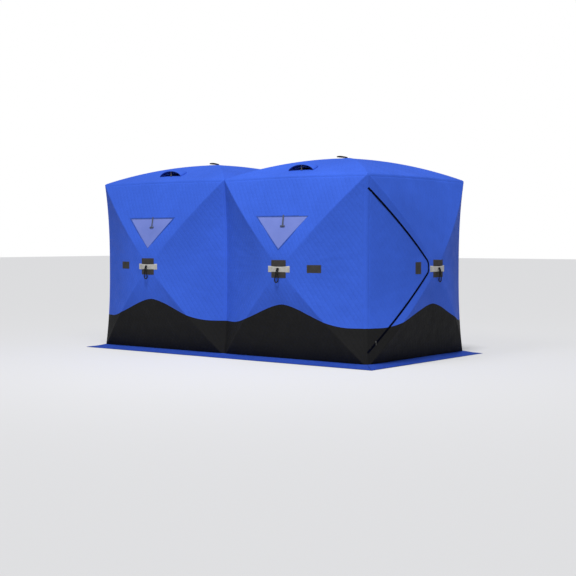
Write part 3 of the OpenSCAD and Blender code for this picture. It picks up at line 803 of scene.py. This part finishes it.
BLUE = (0.042, 0.121, 0.645)
INK = (0.0128, 0.0128, 0.0130)
M = {}
M["blue"] = quilted("quilted_blue_cloth", BLUE, groove=0.83)
M["blue_end"] = quilted("quilted_blue_cloth_taut", BLUE, groove=0.90, crumple=0.5)
M["black"] = quilted("quilted_black_cloth", INK, rough=0.62, groove=0.74, spec=0.10)
M["black_end"] = quilted("quilted_black_cloth_taut", INK, rough=0.62, groove=0.90, spec=0.08, crumple=0.4)
M["skirt"] = cloth_plain("skirt_cloth", (0.021, 0.062, 0.370), rough=0.6, edge_line=(0.012, 0.0007, (0.05, 0.12, 0.50)))
M["patch"] = cloth_plain("dark_patch_cloth", (0.047, 0.044, 0.043), rough=0.62, edge_line=(0.004, 0.0006, (0.12, 0.12, 0.12)))
M["patch2"] = cloth_plain("black_patch_cloth", (0.022, 0.022, 0.024), rough=0.6)
M["web"] = cloth_plain("grey_webbing", (0.47, 0.46, 0.435), rough=0.62, pitch=0.0018, edge_line=(0.0045, 0.0006, (0.60, 0.60, 0.57)))
M["tape"] = cloth_plain("zipper_tape", (0.0010, 0.0018, 0.0080), rough=0.7, spec=0.03, edge_line=(0.0016, 0.0004, (0.006, 0.009, 0.024)))
M["bind"] = cloth_plain("window_binding", (0.036, 0.090, 0.420), rough=0.6, edge_line=(0.0055, 0.0005, (0.10, 0.18, 0.62)))
M["tie"] = cloth_plain("grey_tie_cloth", (0.085, 0.100, 0.150), rough=0.6)
M["teeth"] = plastic("zipper_teeth", (0.0012, 0.0018, 0.0070), rough=0.5, spec=0.06)
M["black_plastic"] = plastic("black_moulded_plastic", (0.018, 0.018, 0.019))
M["grey_plastic"] = plastic("grey_moulded_plastic", (0.16, 0.16, 0.155), rough=0.45)
M["pull"] = plastic("dark_grey_plastic", (0.050, 0.050, 0.050), rough=0.5, spec=0.3)


def make_film():
    N = Nodes("window_film")
    loc, obj = N.attr("loc"), N.coords()
    _x, _y, d = N.xyz(loc)
    big = N.noise(obj, 5.0, 3, 0.55)
    # painted light: the pane is lighter towards its edges and darker in its middle, standing in for the shade inside
    pane_edge_painted_light = N.ramp(d, 0.0, 0.10, 1.0, 0.0)
    c = N.mix(N.ramp(big, 0.3, 0.7), (0.166, 0.224, 0.610), (0.190, 0.250, 0.660))
    c = N.mix(N.math("MULTIPLY", pane_edge_painted_light, 0.22), c, (0.225, 0.282, 0.700))
    n = N.bump(N.noise(obj, 14.0, 3, 0.5), 0.004, 0.35)
    return N.set(color=c, rough=0.22, normal=n, alpha=0.90, spec=0.35, coat=0.15, coat_rough=0.1)


M["film"] = make_film()


def make_rope():
    N = Nodes("black_braided_rope")
    obj = N.coords()
    x, y, z = N.xyz(obj)
    k = 1500.0
    a = N.math("SINE", N.math("MULTIPLY", N.math("ADD", N.math("ADD", x, y), z), k))
    b = N.math("SINE", N.math("MULTIPLY", N.math("SUBTRACT", N.math("ADD", x, y), z), k))
    br = N.math("MULTIPLY", a, b)
    fz = N.noise(obj, 700.0, 2)
    c = N.mix(N.ramp(br, -1, 1), (0.005, 0.005, 0.0055), (0.016, 0.016, 0.017))
    n = N.bump(br, 0.0006, 0.8)
    n = N.bump(fz, 0.0004, 0.4, n)
    return N.set(color=c, rough=0.72, normal=n, spec=0.2)


M["rope"] = make_rope()


def make_pole():
    N = Nodes("black_fibreglass")
    obj = N.coords()
    st = N.noise(obj, 260.0, 2, 0.7)
    c = N.mix(N.ramp(st, 0.35, 0.65), (0.014, 0.014, 0.015), (0.045, 0.045, 0.047))
    n = N.bump(st, 0.0002, 0.4)
    return N.set(color=c, rough=0.33, normal=n, spec=0.5, coat=0.3, coat_rough=0.2)


M["pole"] = make_pole()

# ---------------------------------------------------------------- camera
cam_data = bpy.data.cameras.new("camera")
cam_data.lens, cam_data.sensor_width = 72.57, 36.0
cam_data.clip_end = 200
cam = bpy.data.objects.new("camera", cam_data)
COLL.objects.link(cam)
yaw, pitch = math.radians(128.27), math.radians(-2.345)
look = Vector((math.cos(yaw) * math.cos(pitch), math.sin(yaw) * math.cos(pitch), math.sin(pitch)))
cam.location = (7.9935, -9.9655, 1.2088)
cam.rotation_euler = look.to_track_quat("-Z", "Y").to_euler()
SCENE.camera = cam

# ---------------------------------------------------------------- ropes, first
MM = 0.001
LOOP = [(-7, 3, 0), (-7, -7, 4), (-8, -19, 7), (-10, -34, 7), (-12, -51, 7), (-15, -68, 7), (-18, -84, 6),
        (-21, -99, 5), (-21, -112, 4), (-15, -125, 4), (-5, -131, 4), (5, -131, 4), (15, -125, 4), (21, -112, 4), (21, -99, 5),
        (18, -84, 6), (15, -68, 7), (12, -51, 7), (10, -34, 7), (8, -19, 7), (7, -7, 4), (7, 3, 0)]
ROOF_LOOP = [(8, -13, 8), (-8, -18, 9), (-24, -22, 11), (-42, -24, 13), (-60, -25, 15), (-75, -25, 17), (-89, -22, 19), (-99, -13, 21),
             (-103, -2, 23), (-99, 10, 25), (-90, 18, 26), (-76, 21, 25), (-60, 21, 23), (-42, 20, 20), (-24, 17, 17), (-8, 15, 13), (8, 11, 8)]
LEAN = {"front_wall_1": 0, "front_wall_2": -13, "back_wall_1": -6, "back_wall_2": 5, "left_wall": -4, "door_wall": 6}
FRONT_MARK, END_MARK = -0.014, 0.028


def curve_through(pts, per=4):
    pts = np.array(pts, float)
    ext = np.concatenate([2 * pts[:1] - pts[1:2], pts, 2 * pts[-1:] - pts[-2:-1]])
    out = []
    for i in range(1, len(ext) - 2):
        p0, p1, p2, p3 = ext[i - 1: i + 3]
        for k in range(per):
            t = k / per
            out.append(0.5 * (2 * p1 + (p2 - p0) * t + (2 * p0 - 5 * p1 + 4 * p2 - p3) * t * t + (3 * p1 - p0 - 3 * p2 + p3) * t ** 3))
    out.append(pts[-1])
    return np.array(out)


def rope(name, node, pts):
    pts = curve_through(pts)
    cu = bpy.data.curves.new(name, "CURVE")
    cu.dimensions = "3D"
    sp = cu.splines.new("POLY")
    sp.points.add(len(pts) - 1)
    for p, v in zip(sp.points, pts):
        p.co = (*v, 1)
    cu.bevel_depth = 0.0055
    cu.bevel_resolution = 4
    cu.use_fill_caps = True
    cu.materials.append(M["rope"])
    o = bpy.data.objects.new(name, cu)
    COLL.objects.link(o)
    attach(o, "shelter")
    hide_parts(node)
    return o


def knot(name, place, x, y, r, w=0.013, h=0.011, d=0.010):
    """The lashing that holds a loop's two ends: a small turned bundle of rope."""
    vs, fs = [], []
    U, W = 20, 12
    for i in range(W + 1):
        a = math.pi * i / W
        for j in range(U):
            b = 2 * math.pi * j / U
            g = 1 + 0.10 * math.sin(3 * b + 5 * a)
            vs.append((x + w * g * math.sin(a) * math.cos(b), y + h * g * math.cos(a), r + d * g * math.sin(a) * math.sin(b)))
    for i in range(W):
        for j in range(U):
            a, b = i * U + j, i * U + (j + 1) % U
            fs.append((a, b, b + U, a + U))
    o = mesh_object(name, place(np.array(vs)), fs, [M["rope"]], 0)
    return o


WALLS = [("front_wall_1", FRONT_1, on_front(-A)), ("front_wall_2", FRONT_2, on_front(A)),
         ("back_wall_1", FRONT_2, on_back(-A)), ("back_wall_2", FRONT_1, on_back(A)),
         ("left_wall", END, on_left()), ("door_wall", END, on_right())]
KNOTS = []
for node, K, place in WALLS:
    dx = END_MARK + 0.012 if K is END else -0.028 if node == "front_wall_1" else -0.016
    loc = np.array([((x + LEAN[node] * max(0, -y) / 130) * MM + dx, y * MM, BULGE + 0.011 + z * MM) for x, y, z in LOOP])
    nm = node.replace("wall_", "").replace("front_", "front_loop_").replace("back_", "back_loop_")
    nm = {"left_wall": "left_loop", "door_wall": "door_wall_loop"}.get(node, nm)
    rope(nm + "_rope", nm, place(loc))
    KNOTS.append(knot(nm + "_knot", place, dx, 0.002, BULGE + 0.0095, 0.0145, 0.0095, 0.010))
for i, cx in ((1, -A), (2, A)):
    place = on_roof(cx)
    loc = np.array([(x * MM, y * MM, RISE + z * MM) for x, y, z in ROOF_LOOP])
    rope("roof_loop_%d_rope" % i, "roof_loop_%d" % i, place(loc))
    KNOTS.append(knot("roof_loop_%d_knot" % i, place, 0.010, -0.001, RISE + 0.006, 0.012, 0.020, 0.010))
kn = join("loop_knots", KNOTS)
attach(kn, "shelter")

# ---------------------------------------------------------------- panels
SIDE_PATCH = {"front_wall_1": (-0.424, 0.008, 0.156, 0.078), "front_wall_2": (0.377, 0.004, 0.143, 0.078),
              "back_wall_1": (0.377, 0.004, 0.143, 0.078), "back_wall_2": (-0.424, 0.008, 0.156, 0.078)}
DOOR_PATCH = (-0.283, 0.009, 0.076, 0.118)
BLUE_AREA = {}


def sheet_of(node):
    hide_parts(node)


PATCHES, SIDES, STRAPS, BINDS = [], [], [], []
for idx, (node, K, place) in enumerate(WALLS):
    is_end = K is END
    door = node == "door_wall"
    mark = END_MARK if is_end else FRONT_MARK
    patch = (END_MARK + 0.009, 0.192) if is_end else (FRONT_MARK, 0.184)
    strap = 0.276 if is_end else 0.272
    hub_patch = box_outline(patch[0], 0, patch[1], 0.176, 0.008)
    flats = [box_outline(patch[0], 0, patch[1] + 0.004, 0.180, 0.008), box_outline(mark, -0.002, strap + 0.004, 0.066, 0.004)]
    bindings = [(wave_line(K), False)]
    holes = []
    if node in SIDE_PATCH:
        cx, cy, w, h = SIDE_PATCH[node]
        flats.append(box_outline(cx, cy, w + 0.004, h + 0.004, 0.006))
        win = ring(WINDOW, 0.011)
        holes.append(win)
        bindings.append((win, True))
    if door:
        cx, cy, w, h = DOOR_PATCH
        flats.append(box_outline(cx, cy, w + 0.004, h + 0.004, 0.006))
        bindings.append((ZIP[ZIP[:, 0] > -0.9], False))
    cloth = Cloth(K, 3.0 + idx, flats, bindings)
    outline = blue_outline(K)
    if not door:
        o = panel_piece(node + "_cloth", K, place, cloth, outline, holes, [], [M["blue_end" if is_end else "blue"]])
        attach(o, "shelter")
        sheet_of(node)
        b = panel_piece(node + "_band_cloth", K, place, cloth, band_outline(K), [], [], [M["black_end" if is_end else "black"]])
        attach(b, "shelter")
        bn = node.replace("wall", "band") if node != "left_wall" else "left_band"
        sheet_of(bn)
    else:
        DOOR_CLOTH, DOOR_PLACE, DOOR_K = cloth, place, K
    # trim at the hub
    PATCHES.append(trim_piece("p", K, place, hub_patch, [], 0.0003, 0.0014, [M["patch"]], 0.012, crown=0.0004))

    def strap_lo(x, y, patch=patch):
        return 0.0004 + 0.0013 * smooth(patch[1] / 2 + 0.014 - np.abs(x - patch[0]), 0.0, 0.022)

    def strap_hi(x, y, patch=patch):
        return strap_lo(x, y, patch) + 0.0022
    STRAPS.append(trim_piece("s", K, place, box_outline(mark, -0.002, strap, 0.062, 0.003), [], strap_lo, strap_hi, [M["web"]], 0.008, crown=0.0006))
    if node in SIDE_PATCH:
        cx, cy, w, h = SIDE_PATCH[node]
        SIDES.append(trim_piece("sp", K, place, box_outline(cx, cy, w, h, 0.006), [], 0.0004, 0.0017, [M["patch"]], 0.012, crown=0.0004))

for objs, node, nm, sl in ((PATCHES, "hub_patches", "hub_patches_cloth", "dark_patch"),
                           (STRAPS, "hub_straps", "hub_straps_webbing", "grey_webbing"),
                           (SIDES, "side_patches", "side_patches_cloth", "dark_patch")):
    o = join(nm, objs)
    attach(o, "shelter")
    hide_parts(node)

# ---------------------------------------------------------------- windows
PANE = [("front_window_1", FRONT_1, on_front(-A)), ("front_window_2", FRONT_2, on_front(A)),
        ("back_window_1", FRONT_2, on_back(-A)), ("back_window_2", FRONT_1, on_back(A))]
TIES = []
for k, (node, K, place) in enumerate(PANE):
    out = ring(grow_polygon(WINDOW, -0.0006), 0.012)
    wob = lambda x, y, k=k: 0.0012 * vnoise(x * 9 + k, y * 9, 5.0 + k) - 0.0022
    o = trim_piece(node + "_film", K, place, out, [], lambda x, y: wob(x, y) - 0.0010, wob, [M["film"]], 0.014)
    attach(o, "shelter")
    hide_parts(node)
    BINDS.append(trim_piece("b", K, place, ring(grow_polygon(WINDOW, 0.006), 0.010), [ring(grow_polygon(WINDOW, -0.005), 0.010)],
                            0.0003, 0.0016, [M["bind"]], 0.02, crown=0.0005))
    # the tie and its toggle, sewn above the pane and lying over it
    TIES.append(trim_piece("t", K, place, ring(np.array([[-0.022, 0.414], [-0.004, 0.414], [-0.017, 0.530], [-0.035, 0.530]]), 0.010), [], 0.0003, 0.0019, [M["tie"]], 0.010, crown=0.0005))
    TIES.append(trim_piece("t", K, place, box_outline(-0.013, 0.420, 0.056, 0.015, 0.0060), [], 0.0008,
                           lambda x, y: 0.0088 - 0.0035 * ((y - 0.420) / 0.0075) ** 2 - 0.0012 * ((x + 0.013) / 0.028) ** 4, [M["tie"]], 0.0035, crown=0.0012))
o = join("window_bindings", BINDS)
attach(o, "shelter")
o = join("window_ties", TIES)
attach(o, "shelter")
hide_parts("window_strips")

# ---------------------------------------------------------------- door wall and door
K, place, cloth = DOOR_K, DOOR_PLACE, DOOR_CLOTH
blue, band = blue_outline(K), band_outline(K)
opening = door_outline(0.003, HINGE_X)
flap = door_outline(-0.003, HINGE_X)


def door_part(name, base, cut, want_inside, mats, n=QN):
    """The door wall's cloth on one side of the opening's outline."""
    rows = pole_rows(K) + seam_rows(K)
    lat = lattice_points(-0.9, 0.9, -0.94, 0.92, n)

    def keep(x, y):
        k = inside(base, x, y)
        c = inside(cut, x, y)
        return k & (c if want_inside else ~c)
    lines = [(base, True), (cut, True)]
    near_edge = Near(lines)
    rows2 = []
    for l, c in rows:
        ok = keep(l[:, 0], l[:, 1]) & (near_edge(l[:, 0], l[:, 1]) > 0.0024)
        k = 0
        while k < len(l):
            if not ok[k]:
                k += 1
                continue
            j = k
            while j < len(l) and ok[j]:
                j += 1
            if j - k > 2:
                rows2.append((l[k:j], False))
            k = j
    lat = lat[keep(lat[:, 0], lat[:, 1])]
    near = Near(lines + rows2)
    lat = lat[near(lat[:, 0], lat[:, 1]) > 0.0050]
    V, F = triangulate(lines + rows2, lat, keep)
    off, at = cloth(V[:, 0], V[:, 1])
    return shell(name, K, place, V, F, off, -T + 0.4 * np.minimum(off, 0), mats, at, 0)


o = door_part("door_wall_cloth", blue, opening, False, [M["blue_end"]])
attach(o, "shelter")
sheet_of("door_wall")
o = door_part("door_wall_band_cloth", band, opening, False, [M["black_end"]])
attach(o, "shelter")
sheet_of("door_wall_band")
DOOR = []
o = door_part("door_flap_cloth", blue, flap, True, [M["blue_end"]])
sheet_of("door_flap")
DOOR.append(o)
o = door_part("door_band_cloth", band, flap, True, [M["black_end"]])
sheet_of("door_band")
DOOR.append(o)
o = trim_piece("door_patch_cloth", K, place, box_outline(*DOOR_PATCH, 0.006), [], 0.0004, 0.0017, [M["patch"]], 0.010, crown=0.0004)
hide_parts("door_patch")
DOOR.append(o)


def between(lines_out):
    return closed(*lines_out)


def zip_side(name, g0, g1, x_from):
    """One tape: the strip between two offsets of the zipper line."""
    a, b = zip_line(min(g0, g1), x_from), zip_line(max(g0, g1), x_from)
    for l in (a, b):
        l[0, 0] = l[-1, 0] = x_from
    poly = closed(a, b[::-1])
    return trim_piece(name, K, place, poly, [], 0.0004, 0.0018, [M["tape"]], 0.05, rows=False, crown=0.0003)


def teeth(name, side, x_from, phase):
    """Teeth along one edge of the tape, as small blocks."""
    line = ZIP[ZIP[:, 0] >= x_from]
    line = resample(line, 0.0042)
    t = np.gradient(line, axis=0)
    t /= np.linalg.norm(t, axis=1)[:, None]
    nrm = np.stack([-t[:, 1], t[:, 0]], 1)       # towards the outside of the flap
    if phase:
        line = (line[:-1] + line[1:]) / 2
        t, nrm = t[:-1], nrm[:-1]
    vs, fs = [], []
    box = [(-1, 0), (1, 0), (1, 1), (-1, 1)]
    lo, hi = (-0.0006, 0.0046)
    X, Y, H = [], [], []
    for c, tt, nn in zip(line, t, nrm):
        for z in (0.0006, 0.0032):
            for u, v in box:
                g = lo + (hi - lo) * v
                q = c + tt * u * 0.00085 + nn * side * g
                X.append(q[0])
                Y.append(q[1])
                H.append(z)
    X, Y, H = np.array(X), np.array(Y), np.array(H)
    P = place(K.points(X, Y, H))
    for k in range(len(line)):
        b = 8 * k
        quads = [(3, 2, 1, 0), (4, 5, 6, 7), (0, 1, 5, 4), (1, 2, 6, 5), (2, 3, 7, 6), (3, 0, 4, 7)]
        if side < 0:
            quads = [q[::-1] for q in quads]
        fs += [tuple(b + i for i in q) for q in quads]
    return mesh_object(name, P, fs, [M["teeth"]], 30)


o = zip_side("door_tape_cloth", -0.0088, -0.003, HINGE_X + 0.0005)
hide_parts("door_tape")
DOOR.append(o)
o = teeth("door_zip_teeth", -1, HINGE_X + 0.001, 0)
DOOR.append(o)
for o in DOOR:
    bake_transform(o)
o = zip_side("frame_tape_cloth", 0.003, 0.0088, HINGE_X + 0.0005)
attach(o, "shelter")
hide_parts("frame_tape")
o = teeth("frame_zip_teeth", 1, HINGE_X + 0.001, 1)
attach(o, "shelter")
# the closed end of the zipper runs on over the wall to its corner edge
for nm, part in (("upper", 0), ("lower", 1)):
    full = ZIP if part == 0 else ZIP[::-1]
    full = full[:len(full) // 2]
    l = full[full[:, 0] < HINGE_X]
    px, _q = K.pq(l[:, 0], l[:, 1])
    l = l[px > -0.997]
    if len(l) > 3:
        a, b = offset_line(l, 0.0088), offset_line(l, -0.0088)
        for e in (a, b):
            e[-1, 0] = HINGE_X - 0.0006
        o = trim_piece("zip_%s_end" % nm, K, place, closed(a, b[::-1]), [], 0.0004, 0.0020, [M["tape"]], 0.05, rows=False, crown=0.0003)
        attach(o, "shelter")

# ---------------------------------------------------------------- slider
def block(name, place, pts_fn, bev, mats, segs=3):
    vs = np.array([[x, y, z] for z in (0, 1) for y in (0, 1) for x in (0, 1)], float)
    fs = [(0, 2, 3, 1), (4, 5, 7, 6), (0, 1, 5, 4), (2, 6, 7, 3), (0, 4, 6, 2), (1, 3, 7, 5)]
    ob = mesh_object(name, place(pts_fn(vs)), fs, mats, 40)
    bv = ob.modifiers.new("bevel", "BEVEL")
    bv.width, bv.segments = bev, segs
    bpy.context.view_layer.objects.active = ob
    bpy.ops.object.modifier_apply(modifier="bevel")
    ob.data.polygons.foreach_set("use_smooth", [True] * len(ob.data.polygons))
    return ob


zx, zy = -0.804, -0.687
zr = float(K.height(np.array([zx]), np.array([zy]))[0])


def slider_pts(v, w, h, t, z0, tilt):
    a = (v[:, 0] - 0.5) * w
    b = (v[:, 1] - 0.5) * h
    c, s = math.cos(math.radians(tilt)), math.sin(math.radians(tilt))
    return np.stack([zx + a * c - b * s, zy + a * s + b * c, zr + z0 + v[:, 2] * t], 1)


parts = [block("z", place, lambda v: slider_pts(v, 0.018, 0.012, 0.0068, 0.0030, 45), 0.0022, [M["pull"]]),
         block("z", place, lambda v: slider_pts(v, 0.010, 0.010, 0.0018, 0.0098, 45), 0.0008, [M["pull"]]),
         block("z", place, lambda v: slider_pts(v, 0.010, 0.036, 0.0024, 0.0102, 0) + np.array([0, -0.014, 0]), 0.0011, [M["pull"]])]
zp = join("zip_slider", parts)
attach(zp, "door")
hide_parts("zip_pull")

# ---------------------------------------------------------------- roofs and vents
VENT_W, VY0, VY1, VH = 0.310, -0.712, -0.520, 0.058
for i, (K, cx, vx) in enumerate(((ROOF_1, -A, -0.056), (ROOF_2, A, -0.044))):
    place = on_roof(cx)
    t = np.linspace(0, 2 * math.pi, 49)[:-1]
    hole = np.stack([vx + 0.102 * np.cos(t), (VY0 + VY1) / 2 - 0.010 + 0.0459 * np.sin(t)], 1)
    b = np.linspace(0, 1, 12)
    side = np.stack([VENT_W / 2 * np.sqrt(1 - 0.88 * b * b), VY0 + (VY1 - VY0) * b], 1)
    foot = np.concatenate([side, side[::-1] * [-1, 1]]) + [vx, 0]
    cloth = Cloth(K, 20.0 + i, [ring(foot)], [])
    o = panel_piece("roof_%d_cloth" % (i + 1), K, place, cloth, blue_outline(K), [hole], [], [M["blue_end"]])
    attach(o, "shelter")
    sheet_of("roof_%d" % (i + 1))
    # the hood: a half dome of cloth, open to the front
    U, W = 32, 14
    vs = []
    for layer in (0, 1):
        for j in range(W + 1):
            b = j / W
            for k in range(U + 1):
                a = 2 * k / U - 1
                a = math.sin(a * math.pi / 2)
                w = math.sqrt(1 - 0.88 * b * b)
                x, y = vx + a * w * VENT_W / 2, VY0 + (VY1 - VY0) * b
                h = VH * max(0.0, 1 - a * a) ** 0.62 * (1 - 0.98 * b * b)
                h += 0.0015 * math.sin(9 * b + 2) * (1 - a * a) * (1 - b)
                vs.append((x, y, h + (0.0030 if layer else 0.0)))
    vs = np.array(vs)
    r = K.height(vs[:, 0], vs[:, 1])
    vs[:, 2] += r + 0.0008
    n = (U + 1) * (W + 1)
    fs = []
    for j in range(W):
        for k in range(U):
            a = j * (U + 1) + k
            fs.append((n + a, n + a + 1, n + a + U + 2, n + a + U + 1))
            fs.append((a, a + U + 1, a + U + 2, a + 1))
    for k in range(U):
        fs.append((k, k + 1, n + k + 1, n + k))
        a = W * (U + 1) + k
        fs.append((a + 1, a, n + a, n + a + 1))
    for j in range(W):
        a = j * (U + 1)
        fs.append((a + U + 1, a, n + a, n + a + U + 1))
        a += U
        fs.append((a, a + U + 1, n + a + U + 1, n + a))
    at = np.stack([vs[:, 0], vs[:, 1], np.full(len(vs), 0.2)], 1)
    o = mesh_object("vent_hood_%d_cloth" % (i + 1), place(vs), fs, [M["blue"]], 50,
                    attrs={"loc": at, "quilt": np.zeros((len(vs), 3)) + [0.5, 0.5, 0]})
    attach(o, "shelter")
    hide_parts("vent_hood_%d" % (i + 1))
    # a bound rim round the hood's mouth
    rim = []
    for k in range(41):
        a = math.sin((2 * k / 40 - 1) * math.pi / 2)
        x = vx + a * VENT_W / 2
        h = VH * max(0.0, 1 - a * a) ** 0.62
        rim.append((x, VY0, float(K.height(np.array([x]), np.array([VY0]))[0]) + 0.0028 + h))
    rim = place(np.array(rim))
    cu = bpy.data.curves.new("rim", "CURVE")
    cu.dimensions = "3D"
    sp = cu.splines.new("POLY")
    sp.points.add(len(rim) - 1)
    for p, v in zip(sp.points, rim):
        p.co = (*v, 1)
    cu.bevel_depth, cu.bevel_resolution, cu.use_fill_caps = 0.0032, 3, True
    ro = bpy.data.objects.new("vent_rim_%d" % (i + 1), cu)
    COLL.objects.link(ro)
    bpy.context.view_layer.objects.active = ro
    bpy.ops.object.select_all(action="DESELECT")
    ro.select_set(True)
    bpy.ops.object.convert(target="MESH")
    ro = bpy.context.object
    ro.data.materials.clear()
    ro.data.materials.append(M["bind"])
    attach(ro, "shelter")

# ---------------------------------------------------------------- skirts
ROWS = np.array([[0, 1], [0.3, 0.55], [0.6, 0.18], [0.82, 0], [1, 0]])
SKIRT_W, SKIRT_H, SKIRT_T = 0.155, 0.034, 0.004


def skirt(name, node, kinds, xs, L, place, seed):
    cols = []
    for b, (K, x0) in enumerate(zip(kinds, xs)):
        p = np.linspace(-1, 1, 91)
        if b:
            p = p[1:]
        q = np.full(len(p), (SKIRT_H - HUB) / HUB)
        x, y, r = K.surf(p, q)
        cols.append(np.stack([x + x0, r + 0.0015], 1))
    cols = np.concatenate(cols)
    s = np.linspace(0, 1, 19)
    # a smooth fall from the seam to the ground
    f = np.interp(s, ROWS[:, 0], ROWS[:, 1])
    f = np.convolve(np.pad(f, 2, mode="edge"), [0.1, 0.2, 0.4, 0.2, 0.1], "valid")
    f[0], f[-3:] = 1, 0
    X0, R0 = cols[:, 0:1], cols[:, 1:2]
    X1 = X0 * (L + SKIRT_W) / L
    X = X0 + (X1 - X0) * s
    R = R0 + (SKIRT_W - R0) * s
    slack = np.sin(np.pi * np.clip(s, 0, 1)) ** 0.8
    wav = 0.5 + 0.5 * vnoise(X * 5.5 + seed, R * 3, seed)
    wav = wav * 0.6 + 0.4 * (0.5 + 0.5 * vnoise(X * 17, R * 8, seed + 1))
    endfade = smooth(L + 0.02 - np.abs(X0), 0.0, 0.10)
    Z = SKIRT_T * 0.75 + (SKIRT_H - SKIRT_T) * f + 0.0085 * wav * slack * endfade
    lift = 0.0022 * (0.5 + 0.5 * vnoise(X * 7 + 9, R * 0, seed + 2)) * endfade
    Z = Z + lift * smooth(s, 0.75, 1.0)
    R = R + 0.002 * vnoise(X * 4, R * 0, seed + 3) * smooth(s, 0.8, 1.0) * endfade - 0.002 * smooth(s, 0.8, 1.0)
    hem = np.abs(s - 0.90) < 0.028
    Z = Z - np.where(hem, 0.0007, 0) + np.where(s > 0.93, 0.0006, 0)
    n0, n1 = X.shape
    th = 0.0022
    top = np.stack([X.ravel(), Z.ravel() - HUB, R.ravel()], 1)
    low = top.copy()
    low[:, 1] = np.maximum(low[:, 1] - th, -HUB + 0.0003)
    n = n0 * n1
    fs = []
    for i in range(n0 - 1):
        for j in range(n1 - 1):
            a, b = i * n1 + j, (i + 1) * n1 + j
            fs.append((a, b, b + 1, a + 1)[::-1])
            fs.append((n + a, n + a + 1, n + b + 1, n + b)[::-1])
    for i in range(n0 - 1):
        a, b = i * n1, (i + 1) * n1
        fs.append((a, n + a, n + b, b)[::-1])
        a, b = a + n1 - 1, b + n1 - 1
        fs.append((a, b, n + b, n + a)[::-1])
    for j in range(n1 - 1):
        fs.append((j, j + 1, n + j + 1, n + j)[::-1])
        a = (n0 - 1) * n1 + j
        fs.append((a + 1, a, n + a, n + a + 1)[::-1])
    d = (1 - s)[None, :] * 0.15 + 0 * X
    loc = np.stack([X.ravel(), R.ravel(), d.ravel()], 1)
    o = mesh_object(name, place(np.concatenate([top, low])), fs, [M["skirt"]], 50, attrs={"loc": np.concatenate([loc, loc])})
    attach(o, "shelter")
    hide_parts(node)
    return o


skirt("front_skirt_cloth", "front_skirt", [FRONT_1, FRONT_2], [-A, A], 2 * A, on_front(0), 31)
skirt("back_skirt_cloth", "back_skirt", [FRONT_1, FRONT_2], [-A, A], 2 * A, on_back(0), 41)
skirt("left_skirt_cloth", "left_skirt", [END], [0], B, on_left(), 51)
skirt("right_skirt_cloth", "right_skirt", [END], [0], B, on_right(), 61)

# ---------------------------------------------------------------- carried-over CAD nodes
for n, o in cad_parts.items():
    m = None
    if "poles" in n:
        m = M["pole"]
    elif "hubs" in n or n in ("top_corners", "feet"):
        m = M["black_plastic"]
    elif n == "vent_props":
        m = M["grey_plastic"]
    if m:
        if not o.material_slots:
            o.data.materials.append(m)
        for s in o.material_slots:
            s.link = "OBJECT"
            s.material = m

# ---------------------------------------------------------------- floor and light
fl = bpy.data.meshes.new("floor")
S = 60.0
fl.from_pydata([(-S, -S, 0), (S, -S, 0), (S, S, 0), (-S, S, 0)], [], [(0, 1, 2, 3)])
N = Nodes("pale_floor")
N.set(color=(0.70, 0.70, 0.71), rough=0.8, spec=0.1)
fl.materials.append(N.m)
floor = bpy.data.objects.new("floor", fl)
COLL.objects.link(floor)

W = bpy.data.worlds.new("world")
SCENE.world = W
W.use_nodes = True
wt = W.node_tree
bg = wt.nodes["Background"]
bg.inputs[0].default_value = (0.96, 0.98, 1.0, 1)
bg.inputs[1].default_value = 0.16
# a plain white backdrop behind the floor's far edge
back = wt.nodes.new("ShaderNodeBackground")
back.inputs[0].default_value = (1, 1, 1, 1)
back.inputs[1].default_value = 1.0
ray = wt.nodes.new("ShaderNodeLightPath")
mix = wt.nodes.new("ShaderNodeMixShader")
wt.links.new(ray.outputs["Is Camera Ray"], mix.inputs[0])
wt.links.new(bg.outputs[0], mix.inputs[1])
wt.links.new(back.outputs[0], mix.inputs[2])
wt.links.new(mix.outputs[0], wt.nodes["World Output"].inputs[0])


def lamp(name, kind, loc, target, energy, **kw):
    d = bpy.data.lights.new(name, kind)
    d.energy = energy
    for k, v in kw.items():
        setattr(d, k, v)
    o = bpy.data.objects.new(name, d)
    o.location = loc
    o.rotation_euler = (Vector(target) - Vector(loc)).to_track_quat("-Z", "Y").to_euler()
    COLL.objects.link(o)
    return o


lamp("key", "SUN", (2.2, -3.6, 9.1), (0, 0, 0), 3.15, angle=math.radians(20))
lamp("near_fill", "AREA", (1.2, -2.7, 4.6), (0.9, -0.9, 1.5), 40, shape="SQUARE", size=1.5)
SCENE.view_settings.view_transform = "Standard"
SCENE.view_settings.look = "None"
SCENE.view_settings.exposure = 0.0
